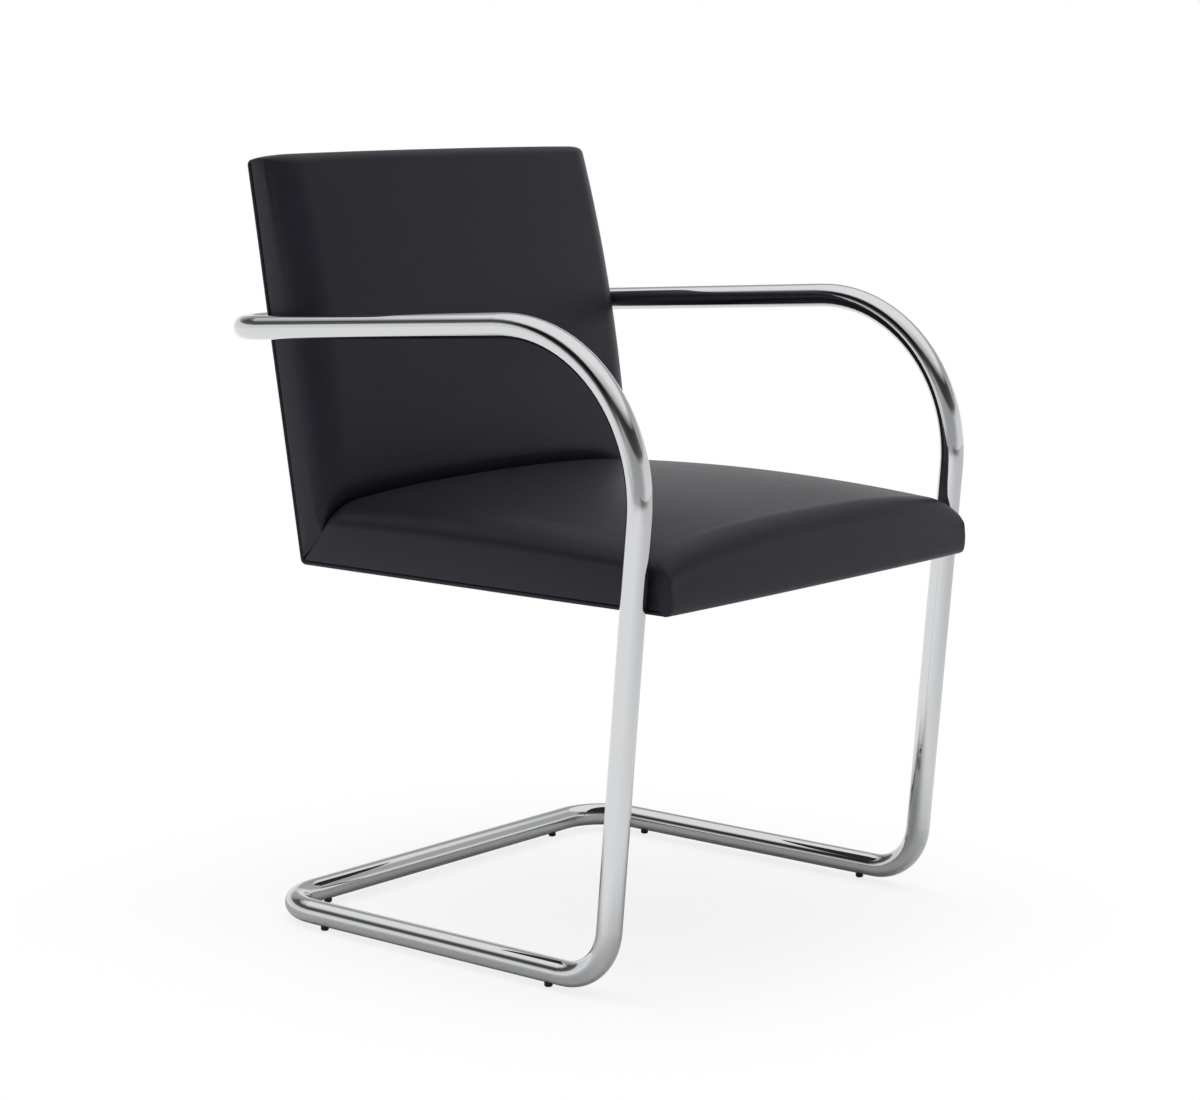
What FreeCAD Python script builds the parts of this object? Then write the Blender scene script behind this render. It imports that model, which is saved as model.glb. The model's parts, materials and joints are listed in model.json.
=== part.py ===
import FreeCAD, Part
import os
from math import cos, radians, sin, tan

# An upholstered cantilever armchair: one loop of bent steel tube carries a leather seat and back.
# Millimetres. The origin is on the floor under the middle of the chair. The sitter faces -Y and
# +X is the sitter's left.

# Tube frame
TUBE_OD = 25.4
TUBE_WALL = 2.0
FRAME_WIDTH = 557.4
OVERALL_DEPTH = 608.4
BASE_RUN = 452.5
ARM_RUN = 575.0
ARM_CORNER_HEIGHT = 656.0
LEG_LEAN = 5.0
ARM_FALL = 3.5
BEND_RADIUS = 57.0
ARM_BEND_RADIUS = 162.0
SLEEVE_LENGTH = 60.0
SLEEVE_WALL = 2.0

# Floor glides
GLIDE_HEIGHT = 4.3
GLIDE_DIAMETER = 8.5
GLIDE_CHAMFER = 1.0
GLIDE_STEM = 5.0
GLIDE_STEM_LENGTH = 9.0
RAIL_GLIDE_FRONT_INSET = 72.2
RAIL_GLIDE_REAR_INSET = 74.3
CROSS_GLIDE_INSET = 80.0

# Seat cushion
SIDE_GAP = 1.3
SEAT_BOTTOM = 379.0
SEAT_THICKNESS = 87.0
SEAT_FRONT_THICKNESS = 76.0
SEAT_REAR_THICKNESS = 79.0
SEAT_CROWN = 23.5
SEAT_CROWN_Y = -40.0
NOSE_SIDE_SETBACK = 6.5
NOSE_ROUNDING = 31.0
CREASE_INSET = 32.5
CREASE_DEPTH = 66.0
CREASE_FALL = 27.0
CREASE_ROUNDING = 26.0

# Back cushion, measured from its lower rear corner up along the recline (s) and forwards (t)
RECLINE = 10.0
BACK_PAST_BEND = 3.24
BACK_HEIGHT = 427.0
BACK_THICKNESS = 68.0
BACK_TOP_THICKNESS = 54.0
BACK_FOOT_THICKNESS = 58.0
BACK_CROWN = 7.0
BACK_FOOT_ROUNDING = 22.0
BACK_TOP_ROUNDING = 26.0
BACK_TOP_DROP = 3.5

# Both cushions
EDGE_RADIUS = 17.0
EDGE_SWEEP = 75.0
CROWN_POWER = 2.6
INNER_STATION = 0.62

# Leather, piping and closing panels
LEATHER = 1.3
PIPING = 5.0
PIPING_CORNER = 4.5
UNDERSIDE_PANEL = 4.5
BACK_PANEL = 5.0
BACK_PANEL_CROWN = 2.8
PANEL_MARGIN = 0.3
SOFT_GAP = 0.3
TUCK_CLEARANCE = 8.0

# Hardwood frame inside
RAIL_THICKNESS = 22.0
RAIL_HEIGHT = 34.0
FRONT_RAIL_THICKNESS = 16.0
FRONT_PAD = 12.0
SIDE_PAD = 5.0
TOP_PAD = 12.0
BACK_FRAME = 24.0
BACK_RAIL_HEIGHT = 34.0
MIDDLE_RAIL_HEIGHT = 44.0
SEAT_REAR_RAIL_INSET = 42.4
BACK_BOTTOM_RAIL_S = 46.0
DOWEL_DIAMETER = 6.0
DOWEL_LENGTH = 30.0
DOWEL_SPACING = 16.0
PLATE_THICKNESS = 2.5
PLATE_WIDTH = 20.0
PLATE_REACH = 95.0
PLATE_CORNER_S = 16.0
PLATE_SCREW_INSETS = (10.0, 28.0)

# Webbing
WEB_WIDTH = 50.0
WEB_THICKNESS = 1.5
SEAT_WEBS_LENGTHWISE = 5
SEAT_WEBS_CROSSWISE = 4
BACK_WEBS = 4

# Screws, bolts and spacers
BOSS_DIAMETER = 12.0
BOSS_REACH = 9.0
LEG_BOLT = 6.0
LEG_BOLT_SPACING = 19.0
LEG_BOLT_RISE = 12.0
LEG_HEAD_DIAMETER = 11.0
LEG_HEAD_HEIGHT = 4.0
WASHER_DIAMETER = 14.0
WASHER_THICKNESS = 1.6
SPACER_DIAMETER = 20.0
SPACER_X = 140.0
BACK_BOLT = 8.0
BACK_HEAD_DIAMETER = 14.0
BACK_HEAD_HEIGHT = 4.4
BACK_HEAD_ROUND = 2.6
HEX_KEY = 5.0
TEE_NUT_FLANGE = 20.0
TEE_NUT_BARREL = 10.0
TEE_NUT_DEPTH = 12.0
TEE_NUT_FLANGE_THICKNESS = 1.5
WOOD_SCREW = 3.5
WOOD_SCREW_HEAD = 7.0
WOOD_SCREW_LENGTH = 16.0
UNDERSIDE_SCREW_YS = (-240.0, -75.0, 90.0)
FIT = 0.05
CLEARANCE = 0.3

# Values worked out from the sizes above
SEAT_TOP = SEAT_BOTTOM + SEAT_THICKNESS
SEAT_FRONT_TOP = SEAT_BOTTOM + SEAT_FRONT_THICKNESS
SEAT_REAR_TOP = SEAT_BOTTOM + SEAT_REAR_THICKNESS
CREASE_HEIGHT = SEAT_BOTTOM + CREASE_DEPTH
TUBE_R = TUBE_OD / 2
HALF_TRACK = FRAME_WIDTH / 2 - TUBE_R
BASE_Z = GLIDE_HEIGHT + TUBE_R
LEAN = tan(radians(LEG_LEAN))
LEAN_BACK = radians(RECLINE)
BOLT_STAND = (TUBE_R + CLEARANCE + BACK_HEAD_HEIGHT) * cos(LEAN_BACK) - TUBE_R
BOLT_STAND = BOLT_STAND + (BACK_HEAD_DIAMETER / 2 - BACK_HEAD_ROUND) * sin(LEAN_BACK)
ARM_REAR_Y = OVERALL_DEPTH / 2 - BOLT_STAND - TUBE_R
ARM_CORNER_Y = ARM_REAR_Y - ARM_RUN
ARM_REAR_Z = ARM_CORNER_HEIGHT - ARM_RUN * tan(radians(ARM_FALL))
TOE_Y = ARM_CORNER_Y + (ARM_CORNER_HEIGHT - BASE_Z) * LEAN
BASE_REAR_Y = TOE_Y + BASE_RUN
NOSE_Y = -OVERALL_DEPTH / 2
SEAT_WIDTH = FRAME_WIDTH - (TUBE_OD + SIDE_GAP) * 2
BACK_CORNER_Y = ARM_REAR_Y - BEND_RADIUS + BACK_PAST_BEND - (ARM_REAR_Z - SEAT_BOTTOM) * tan(LEAN_BACK)
CREASE_Y = BACK_CORNER_Y - CREASE_INSET
SEAT_REAR_RAIL_Y = CREASE_Y - SEAT_REAR_RAIL_INSET
SEAT_HALF = SEAT_WIDTH / 2
FRAME_SIDE = SEAT_HALF - LEATHER - SIDE_PAD
RAIL_INSIDE = FRAME_SIDE - RAIL_THICKNESS
COVER_BOTTOM = SEAT_BOTTOM + PIPING + PANEL_MARGIN
RAIL_BOTTOM = SEAT_BOTTOM + UNDERSIDE_PANEL + PANEL_MARGIN * 2
RAIL_TOP = RAIL_BOTTOM + RAIL_HEIGHT
WEB_TOP = RAIL_TOP + WEB_THICKNESS * 2
RAIL_FRONT_Y = NOSE_Y + LEATHER + FRONT_PAD
COVER_REAR_T = PIPING + PANEL_MARGIN
BACK_FRAME_T = COVER_REAR_T + PANEL_MARGIN
BACK_FRAME_FRONT_T = BACK_FRAME_T + BACK_FRAME
BACK_FRAME_TOP = BACK_HEIGHT - TOP_PAD


def vec(x, y, z):
    return FreeCAD.Vector(x, y, z)


def on_back(x, s, t):
    """A point of the back: s up the recline, t forwards from the rear plane."""
    y = BACK_CORNER_Y + s * sin(LEAN_BACK) - t * cos(LEAN_BACK)
    z = SEAT_BOTTOM + s * cos(LEAN_BACK) + t * sin(LEAN_BACK)
    return vec(x, y, z)


def back_coordinates(y, z):
    """The s and t of a point that is given by y and z."""
    dy = y - BACK_CORNER_Y
    dz = z - SEAT_BOTTOM
    return dy * sin(LEAN_BACK) + dz * cos(LEAN_BACK), dz * sin(LEAN_BACK) - dy * cos(LEAN_BACK)


BACK_FORWARD = on_back(0, 0, 1) - on_back(0, 0, 0)
BACK_UP = on_back(0, 1, 0) - on_back(0, 0, 0)


def box(x0, x1, y0, y1, z0, z1):
    return Part.makeBox(x1 - x0, y1 - y0, z1 - z0, vec(x0, y0, z0))


def back_box(x0, x1, s0, s1, t0, t1):
    """A block square to the reclined back."""
    corners = [on_back(x0, s0, t0), on_back(x1, s0, t0), on_back(x1, s1, t0), on_back(x0, s1, t0)]
    face = Part.Face(Part.makePolygon(corners + corners[:1]))
    return face.extrude(BACK_FORWARD * (t1 - t0))


def rod(start, end, radius):
    along = end - start
    return Part.makeCylinder(radius, along.Length, start, along)


def mirrored(shape):
    return shape.mirror(vec(0, 0, 0), vec(1, 0, 0))


def both(shapes):
    """The shapes and their mirror images."""
    return shapes + [mirrored(shape) for shape in shapes]


def rounded_path(points, radii):
    """A wire of straight runs through the points, with a tangent arc at each inner point."""
    edges = []
    last = points[0]
    for before, corner, after, radius in zip(points, points[1:], points[2:], radii):
        back = (before - corner).normalize()
        ahead = (after - corner).normalize()
        half = back.getAngle(ahead) / 2
        start = corner + back * (radius / tan(half))
        end = corner + ahead * (radius / tan(half))
        middle = (back + ahead).normalize()
        top = corner + middle * (radius / sin(half) - radius)
        edges.append(Part.LineSegment(last, start).toShape())
        edges.append(Part.Arc(start, top, end).toShape())
        last = end
    edges.append(Part.LineSegment(last, points[-1]).toShape())
    return Part.Wire(edges)


def swept_rod(path, radius):
    start = path.Edges[0].Vertexes[0].Point
    direction = path.Edges[0].Vertexes[1].Point - start
    profile = Part.Wire(Part.makeCircle(radius, start, direction))
    return path.makePipeShell([profile], True, True)


def save(name, shapes):
    """Write one node. Several solids in one node stay separate."""
    solids = [solid for shape in shapes for solid in shape.Solids]
    for solid in solids:
        if not solid.isValid():
            print("not valid:", name)
    whole = solids[0] if len(solids) == 1 else Part.makeCompound(solids)
    whole.exportStep("parts/" + name + ".step")
    print(name, len(solids), "solids", round(whole.Volume / 1000, 2), "cm3")


# Tube frame
def leg_y(z):
    """The y of the leg's centre line at height z."""
    return TOE_Y - (z - BASE_Z) * LEAN


def frame_path():
    corners = [
        vec(0, BASE_REAR_Y, BASE_Z),
        vec(HALF_TRACK, BASE_REAR_Y, BASE_Z),
        vec(HALF_TRACK, TOE_Y, BASE_Z),
        vec(HALF_TRACK, ARM_CORNER_Y, ARM_CORNER_HEIGHT),
        vec(HALF_TRACK, ARM_REAR_Y, ARM_REAR_Z),
        vec(0, ARM_REAR_Y, ARM_REAR_Z),
    ]
    return rounded_path(corners, [BEND_RADIUS, BEND_RADIUS, ARM_BEND_RADIUS, BEND_RADIUS])


def leg_bolt_places():
    low = SEAT_BOTTOM + LEG_BOLT_RISE
    heights = [low, low + LEG_BOLT_SPACING]
    return [vec(0, leg_y(z), z) for z in heights]


def glide_places():
    return {
        "front_left": vec(HALF_TRACK, TOE_Y + RAIL_GLIDE_FRONT_INSET, 0),
        "rear_left": vec(HALF_TRACK, BASE_REAR_Y - RAIL_GLIDE_REAR_INSET, 0),
        "cross_left": vec(HALF_TRACK - CROSS_GLIDE_INSET, BASE_REAR_Y, 0),
    }


SPACER_S, SPACER_T = back_coordinates(ARM_REAR_Y, ARM_REAR_Z)
BOSS_INNER_X = HALF_TRACK - TUBE_R + BOSS_REACH


def back_bolt_hole(radius, t0, t1):
    return rod(on_back(SPACER_X, SPACER_S, t0), on_back(SPACER_X, SPACER_S, t1), radius)


def frame_tube():
    path = frame_path()
    tube = swept_rod(path, TUBE_R).cut(swept_rod(path, TUBE_R - TUBE_WALL))
    for place in glide_places().values():
        tube = tube.cut(rod(place, place + vec(0, 0, BASE_Z), GLIDE_STEM / 2 + FIT))
    for place in leg_bolt_places():
        hole = rod(place + vec(FRAME_SIDE, 0, 0), place + vec(BOSS_INNER_X, 0, 0), BOSS_DIAMETER / 2 + FIT)
        tube = tube.cut(hole)
    reach = TUBE_OD
    return tube.cut(back_bolt_hole(BACK_BOLT / 2 + CLEARANCE, SPACER_T - reach, SPACER_T + reach))


def joint_sleeve(y, z):
    """A short tube inside the butt joint of the two half frames."""
    outer = TUBE_R - TUBE_WALL - FIT * 2
    start = vec(-SLEEVE_LENGTH / 2, y, z)
    end = vec(SLEEVE_LENGTH / 2, y, z)
    return rod(start, end, outer).cut(rod(start, end, outer - SLEEVE_WALL))


def glide(place):
    """A push-in foot: its saddle fits the round underside of the tube."""
    foot = Part.makeCylinder(GLIDE_DIAMETER / 2, BASE_Z, place)
    foot = foot.makeChamfer(GLIDE_CHAMFER, [edge for edge in foot.Edges if edge.BoundBox.ZMax < 0.001])
    along = vec(1, 0, 0) if abs(place.x) < HALF_TRACK - 1 else vec(0, 1, 0)
    centre = place + vec(0, 0, BASE_Z)
    saddle = Part.makeCylinder(TUBE_R, TUBE_OD * 2, centre - along * TUBE_OD, along)
    stem = Part.makeCylinder(GLIDE_STEM / 2, GLIDE_STEM_LENGTH, place + vec(0, 0, GLIDE_HEIGHT / 2))
    return foot.cut(saddle).fuse(stem).removeSplitter()


# Cushion sections
def edge_stations(half):
    """Places across a cushion, each with how far the rounded side edge pulls the surface in."""
    sweep = radians(EDGE_SWEEP)
    rounding = [(half - EDGE_RADIUS * (sin(sweep) - sin(a)), EDGE_RADIUS * (1 - cos(a)))
                for a in (0, sweep / 3, sweep * 2 / 3, sweep)]
    inside = (half - EDGE_RADIUS * sin(sweep)) * INNER_STATION
    right = [(inside, 0)] + rounding
    left = [(-x, pull) for x, pull in reversed(right)]
    return left + [(0, 0)] + right


def crown(x, half, height):
    return height * (abs(x) / half) ** CROWN_POWER


def crease_height(seat_fall):
    """Where seat and back meet at the surface, for a station whose seat lies lower by seat_fall."""
    return CREASE_HEIGHT - CREASE_FALL * seat_fall / (SEAT_CROWN + EDGE_RADIUS)


def seat_section(x, pull, skin):
    """A closed outline in the YZ plane that runs below the cushion. skin moves it inwards."""
    floor = SEAT_BOTTOM - PIPING
    fall = crown(x, SEAT_HALF, SEAT_CROWN) + pull
    share = fall / (SEAT_CROWN + EDGE_RADIUS)
    nose = NOSE_Y + NOSE_SIDE_SETBACK * share + skin
    top_front = vec(x, nose + NOSE_ROUNDING, SEAT_FRONT_TOP - fall * 0.87 - skin)
    face_top = vec(x, nose + 2.5, top_front.z - NOSE_ROUNDING * 0.95 + fall * 0.1)
    face_bottom = vec(x, nose + 6, floor)
    face_middle = vec(x, nose, (face_top.z + COVER_BOTTOM) / 2)
    corner = vec(x, nose + NOSE_ROUNDING * 0.32, top_front.z - NOSE_ROUNDING * 0.29)
    crown_top = vec(x, SEAT_CROWN_Y, SEAT_TOP - fall - skin)
    crease_z = crease_height(fall)
    crease = vec(x, CREASE_Y - SOFT_GAP / 2 - skin, crease_z - skin)
    rear_top = vec(x, CREASE_Y - CREASE_ROUNDING - skin, SEAT_REAR_TOP - fall * 0.92 - skin)
    rear_round = vec(x, CREASE_Y - CREASE_ROUNDING * 0.35 - skin, (rear_top.z + crease.z) / 2 + 2)
    slope = (BACK_CORNER_Y - CREASE_Y) / (crease_z - SEAT_BOTTOM)
    rear_bottom = vec(x, crease.y + (crease.z - floor) * slope, floor)
    edges = [
        Part.LineSegment(rear_bottom, face_bottom).toShape(),
        Part.Arc(face_bottom, face_middle, face_top).toShape(),
        Part.Arc(face_top, corner, top_front).toShape(),
        Part.Arc(top_front, crown_top, rear_top).toShape(),
        Part.Arc(rear_top, rear_round, crease).toShape(),
        Part.LineSegment(crease, rear_bottom).toShape(),
    ]
    return Part.Wire(edges)


def back_section(x, pull, skin):
    """The same for the back, with an outline that runs behind the cushion."""
    rear = -PIPING
    fall = crown(x, SEAT_HALF, BACK_CROWN) + pull
    share = fall / (BACK_CROWN + EDGE_RADIUS)
    top = BACK_HEIGHT - BACK_TOP_DROP * share - skin
    crease_z = crease_height(crown(x, SEAT_HALF, SEAT_CROWN) + pull)
    crease_s, crease_t = back_coordinates(CREASE_Y + SOFT_GAP / 2, crease_z)
    crease_s = crease_s + skin
    crease_t = crease_t - skin
    front = BACK_THICKNESS - fall - skin
    foot_t = BACK_FOOT_THICKNESS - fall * 0.75 - skin
    upper_t = BACK_TOP_THICKNESS - fall - skin
    base_s = crease_s - (crease_t - rear) * (crease_s / crease_t)
    depth = upper_t - COVER_REAR_T
    foot_s = crease_s + BACK_FOOT_ROUNDING
    upper_s = top - BACK_TOP_ROUNDING
    outline = [
        (base_s, rear),
        (top - 7, rear),
        (top - 1, COVER_REAR_T + depth * 0.2),
        (top - 1.5, COVER_REAR_T + depth * 0.5),
        (top - 8, COVER_REAR_T + depth * 0.86),
        (upper_s, upper_t),
        ((upper_s + foot_s) / 2, front),
        (foot_s, foot_t),
        (crease_s + BACK_FOOT_ROUNDING * 0.35, (foot_t + crease_t) / 2),
        (crease_s, crease_t),
    ]
    p = [on_back(x, s, t) for s, t in outline]
    edges = [
        Part.LineSegment(p[0], p[1]).toShape(),
        Part.Arc(p[1], p[2], p[3]).toShape(),
        Part.Arc(p[3], p[4], p[5]).toShape(),
        Part.Arc(p[5], p[6], p[7]).toShape(),
        Part.Arc(p[7], p[8], p[9]).toShape(),
        Part.LineSegment(p[9], p[0]).toShape(),
    ]
    return Part.Wire(edges)


def seat_form(skin):
    stations = edge_stations(SEAT_HALF - skin)
    return Part.makeLoft([seat_section(x, pull, skin) for x, pull in stations], True, False)


def back_form(skin):
    stations = edge_stations(SEAT_HALF - skin)
    return Part.makeLoft([back_section(x, pull, skin) for x, pull in stations], True, False)


# Cushions: leather covers over foam
def outer_zone():
    """The space of the piping and the closing panels, under the seat and behind the back."""
    under = box(-SEAT_WIDTH, SEAT_WIDTH, NOSE_Y * 2, -NOSE_Y * 2, 0, COVER_BOTTOM)
    behind = back_box(-SEAT_WIDTH, SEAT_WIDTH, -BACK_HEIGHT, BACK_HEIGHT * 2, -BACK_THICKNESS, COVER_REAR_T)
    return [under, behind]


def leg_boss_holes():
    holes = []
    for place in leg_bolt_places():
        start = vec(RAIL_INSIDE, place.y, place.z)
        end = vec(SEAT_HALF + 1, place.y, place.z)
        holes.append(rod(start, end, BOSS_DIAMETER / 2 + CLEARANCE))
    return both(holes)


def below_tuck():
    """Where the wooden frame passes from seat to back. The leather flaps of the crease end above it."""
    side = FRAME_SIDE + CLEARANCE
    top = on_back(0, BACK_BOTTOM_RAIL_S, BACK_FRAME_FRONT_T).z - CLEARANCE
    slab = mitre_block(-TUCK_CLEARANCE, TUCK_CLEARANCE)
    return slab.common(box(-side, side, 0, BACK_CORNER_Y * 2, 0, top))


def seat_frame_space():
    side = FRAME_SIDE + SOFT_GAP
    return box(-side, side, RAIL_FRONT_Y - SOFT_GAP, BACK_CORNER_Y, SEAT_BOTTOM, WEB_TOP + SOFT_GAP)


def back_frame_space():
    side = FRAME_SIDE + SOFT_GAP
    front = BACK_FRAME_FRONT_T + WEB_THICKNESS + SOFT_GAP
    return back_box(-side, side, -BACK_THICKNESS, BACK_FRAME_TOP + SOFT_GAP, -BACK_THICKNESS, front)


def seat_cover():
    return seat_form(0).cut(seat_form(LEATHER)).cut(outer_zone() + leg_boss_holes() + [below_tuck()])


def back_cover():
    return back_form(0).cut(back_form(LEATHER)).cut(outer_zone() + [below_tuck()])


def seat_foam():
    return seat_form(LEATHER + SOFT_GAP).cut([seat_frame_space()] + outer_zone() + leg_boss_holes())


def back_foam():
    return back_form(LEATHER + SOFT_GAP).cut([back_frame_space()] + outer_zone())


# Closing panels and piping
def outer_back_panel():
    side = SEAT_HALF - PIPING - PANEL_MARGIN
    low = PIPING + PANEL_MARGIN
    high = BACK_HEIGHT - BACK_TOP_DROP - PIPING - PANEL_MARGIN
    inner_right = on_back(-side, low, BACK_PANEL)
    inner_left = on_back(side, low, BACK_PANEL)
    outer_left = on_back(side, low, 1)
    outer_right = on_back(-side, low, 1)
    fullest = on_back(0, low, 1 - BACK_PANEL_CROWN)
    edges = [
        Part.LineSegment(inner_right, inner_left).toShape(),
        Part.LineSegment(inner_left, outer_left).toShape(),
        Part.Arc(outer_left, fullest, outer_right).toShape(),
        Part.LineSegment(outer_right, inner_right).toShape(),
    ]
    panel = Part.Face(Part.Wire(edges)).extrude(BACK_UP * (high - low))
    corners = [on_back(x, high, (BACK_PANEL + 1) / 2) for x in (-side, side)]
    upright = [edge for edge in panel.Edges
               if min(edge.CenterOfMass.distanceToPoint(corner) for corner in corners) < 1]
    panel = panel.makeFillet(PIPING_CORNER - PIPING / 2, upright)
    hole = back_bolt_hole(SPACER_DIAMETER / 2 + CLEARANCE, -BACK_THICKNESS, BACK_FRAME_T)
    return panel.cut(hole).cut(mirrored(hole))


def underside_panel():
    side = SEAT_HALF - PIPING - PANEL_MARGIN
    front = NOSE_Y + NOSE_SIDE_SETBACK + PIPING + PANEL_MARGIN
    top = SEAT_BOTTOM + UNDERSIDE_PANEL + PANEL_MARGIN
    panel = box(-side, side, front, BACK_CORNER_Y - PIPING - PANEL_MARGIN, top - UNDERSIDE_PANEL, top)
    lower = [edge for edge in panel.Edges if edge.BoundBox.ZMax < top - UNDERSIDE_PANEL + 0.01]
    panel = panel.makeFillet(UNDERSIDE_PANEL / 3, lower)
    for screw in underside_screws(CLEARANCE):
        panel = panel.cut(screw)
    return panel


def piping_corner():
    """The s and height of the piping's centre line where the seat turns up into the back."""
    z = SEAT_BOTTOM + PIPING / 2
    s = (PIPING / 2 - PIPING / 2 * sin(LEAN_BACK)) / cos(LEAN_BACK)
    return s, z


def piping_side():
    x = SEAT_HALF - PIPING / 2
    s, z = piping_corner()
    front = vec(x, NOSE_Y + NOSE_SIDE_SETBACK + PIPING, z)
    top = on_back(x, BACK_HEIGHT - BACK_TOP_DROP - PIPING / 2 - PIPING_CORNER, PIPING / 2)
    return swept_rod(rounded_path([front, on_back(x, s, PIPING / 2), top], [PIPING_CORNER]), PIPING / 2)


def piping_top():
    x = SEAT_HALF - PIPING / 2
    high = BACK_HEIGHT - BACK_TOP_DROP - PIPING / 2
    t = PIPING / 2
    low = high - PIPING_CORNER
    corners = [on_back(-x, low, t), on_back(-x, high, t), on_back(x, high, t), on_back(x, low, t)]
    return swept_rod(rounded_path(corners, [PIPING_CORNER - FIT] * 2), PIPING / 2)


# Hardwood seat and back frames
def mitre_block(start, end):
    """A slab along the plane where seat and back meet, between two distances towards the seat."""
    low = vec(-SEAT_WIDTH, BACK_CORNER_Y, SEAT_BOTTOM)
    along = vec(0, CREASE_Y - BACK_CORNER_Y, CREASE_HEIGHT - CREASE_FALL / 2 - SEAT_BOTTOM).normalize()
    outwards = vec(0, -along.z, along.y)
    far = along * BACK_HEIGHT
    corners = [low - far + outwards * start, low + far + outwards * start,
               low + far + outwards * end, low - far + outwards * end]
    return Part.Face(Part.makePolygon(corners + corners[:1])).extrude(vec(SEAT_WIDTH * 2, 0, 0))


def dowel_pair(x, y, z, across):
    """Two dowels along X, centred on a joint, spaced along the direction across."""
    half = vec(DOWEL_LENGTH / 2, 0, 0)
    centres = [vec(x, y, z) + across * (k * DOWEL_SPACING / 2) for k in (-1, 1)]
    return [rod(centre - half, centre + half, DOWEL_DIAMETER / 2) for centre in centres]


def left_dowels():
    middle = (RAIL_BOTTOM + RAIL_TOP) / 2
    depth = BACK_FRAME_T + BACK_FRAME / 2
    dowels = []
    for y in (RAIL_FRONT_Y + FRONT_RAIL_THICKNESS / 2, SEAT_REAR_RAIL_Y):
        dowels += dowel_pair(RAIL_INSIDE, y, middle, vec(0, 0, 1))
    for s in back_rail_centres():
        centre = on_back(RAIL_INSIDE, s, depth)
        dowels += dowel_pair(centre.x, centre.y, centre.z, BACK_UP)
    return dowels


def back_rail_centres():
    return [BACK_FRAME_TOP - BACK_RAIL_HEIGHT / 2, SPACER_S, BACK_BOTTOM_RAIL_S + BACK_RAIL_HEIGHT / 2]


def cut_dowel_holes(shape):
    for dowel in left_dowels():
        centre = dowel.CenterOfMass
        half = vec(DOWEL_LENGTH / 2 + FIT, 0, 0)
        hole = rod(centre - half, centre + half, DOWEL_DIAMETER / 2 + FIT)
        shape = shape.cut(hole).cut(mirrored(hole))
    return shape


def corner_plate_blank():
    """A steel L let into the outer faces of the side rail and the stile."""
    middle = (RAIL_BOTTOM + RAIL_TOP) / 2
    x0 = FRAME_SIDE - PLATE_THICKNESS
    t0 = BACK_FRAME_T + (BACK_FRAME - PLATE_WIDTH) / 2
    corner = on_back(0, PLATE_CORNER_S, t0)
    seat_arm = box(x0, FRAME_SIDE, corner.y - PLATE_REACH, corner.y - 6, middle - PLATE_WIDTH / 2,
                   middle + PLATE_WIDTH / 2)
    back_arm = back_box(x0, FRAME_SIDE, PLATE_CORNER_S, PLATE_CORNER_S + PLATE_REACH, t0, t0 + PLATE_WIDTH)
    return seat_arm.fuse(back_arm).removeSplitter()


def corner_plate():
    plate = corner_plate_blank()
    for screw in plate_screws(FIT):
        plate = plate.cut(screw)
    return plate


def wood_screw(head_face, inwards, extra):
    """A countersunk screw. extra widens it to make its hole."""
    head = WOOD_SCREW_HEAD / 2 + extra
    shank = WOOD_SCREW / 2 + extra
    cone_depth = head - shank
    cone = Part.makeCone(head, shank, cone_depth, head_face, inwards)
    length = WOOD_SCREW_LENGTH + extra - cone_depth
    body = Part.makeCylinder(shank, length, head_face + inwards * cone_depth, inwards)
    return cone.fuse(body).removeSplitter()


def plate_screws(extra):
    middle = (RAIL_BOTTOM + RAIL_TOP) / 2
    depth = BACK_FRAME_T + BACK_FRAME / 2
    corner_y = on_back(0, PLATE_CORNER_S, BACK_FRAME_T).y
    reaches = [PLATE_REACH - inset for inset in PLATE_SCREW_INSETS]
    places = [vec(FRAME_SIDE, corner_y - reach, middle) for reach in reaches]
    places += [on_back(FRAME_SIDE, PLATE_CORNER_S + reach, depth) for reach in reaches]
    return [wood_screw(place, vec(-1, 0, 0), extra) for place in places]


def underside_screws(extra):
    face = SEAT_BOTTOM + PANEL_MARGIN
    x = FRAME_SIDE - RAIL_THICKNESS / 2
    left = [wood_screw(vec(x, y, face), vec(0, 0, 1), extra) for y in UNDERSIDE_SCREW_YS]
    across = [wood_screw(vec(0, y, face), vec(0, 0, 1), extra)
              for y in (RAIL_FRONT_Y + FRONT_RAIL_THICKNESS / 2, SEAT_REAR_RAIL_Y)]
    return left + [mirrored(screw) for screw in left] + across


def leg_bolt(place, extra):
    """A bolt from the inner face of the side rail out into the boss in the leg."""
    head_end = RAIL_INSIDE - WASHER_THICKNESS
    tip = vec(BOSS_INNER_X - 1, place.y, place.z)
    shank = rod(vec(head_end, place.y, place.z), tip, LEG_BOLT / 2 + extra)
    head = rod(vec(head_end - LEG_HEAD_HEIGHT, place.y, place.z), vec(head_end, place.y, place.z),
               LEG_HEAD_DIAMETER / 2)
    socket = rod(vec(head_end - LEG_HEAD_HEIGHT, place.y, place.z),
                 vec(head_end - LEG_HEAD_HEIGHT / 2, place.y, place.z), HEX_KEY / 2)
    return head.cut(socket).fuse(shank).removeSplitter()


def seat_side_rail():
    rail = box(RAIL_INSIDE, FRAME_SIDE, RAIL_FRONT_Y, BACK_CORNER_Y, RAIL_BOTTOM, RAIL_TOP)
    rail = rail.common(mitre_block(SOFT_GAP / 2, BACK_HEIGHT * 2)).cut(corner_plate_blank())
    for place in leg_bolt_places():
        rail = rail.cut(leg_bolt(place, CLEARANCE))
    for screw in underside_screws(0) + plate_screws(0):
        rail = rail.cut(screw)
    return cut_dowel_holes(rail)


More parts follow.
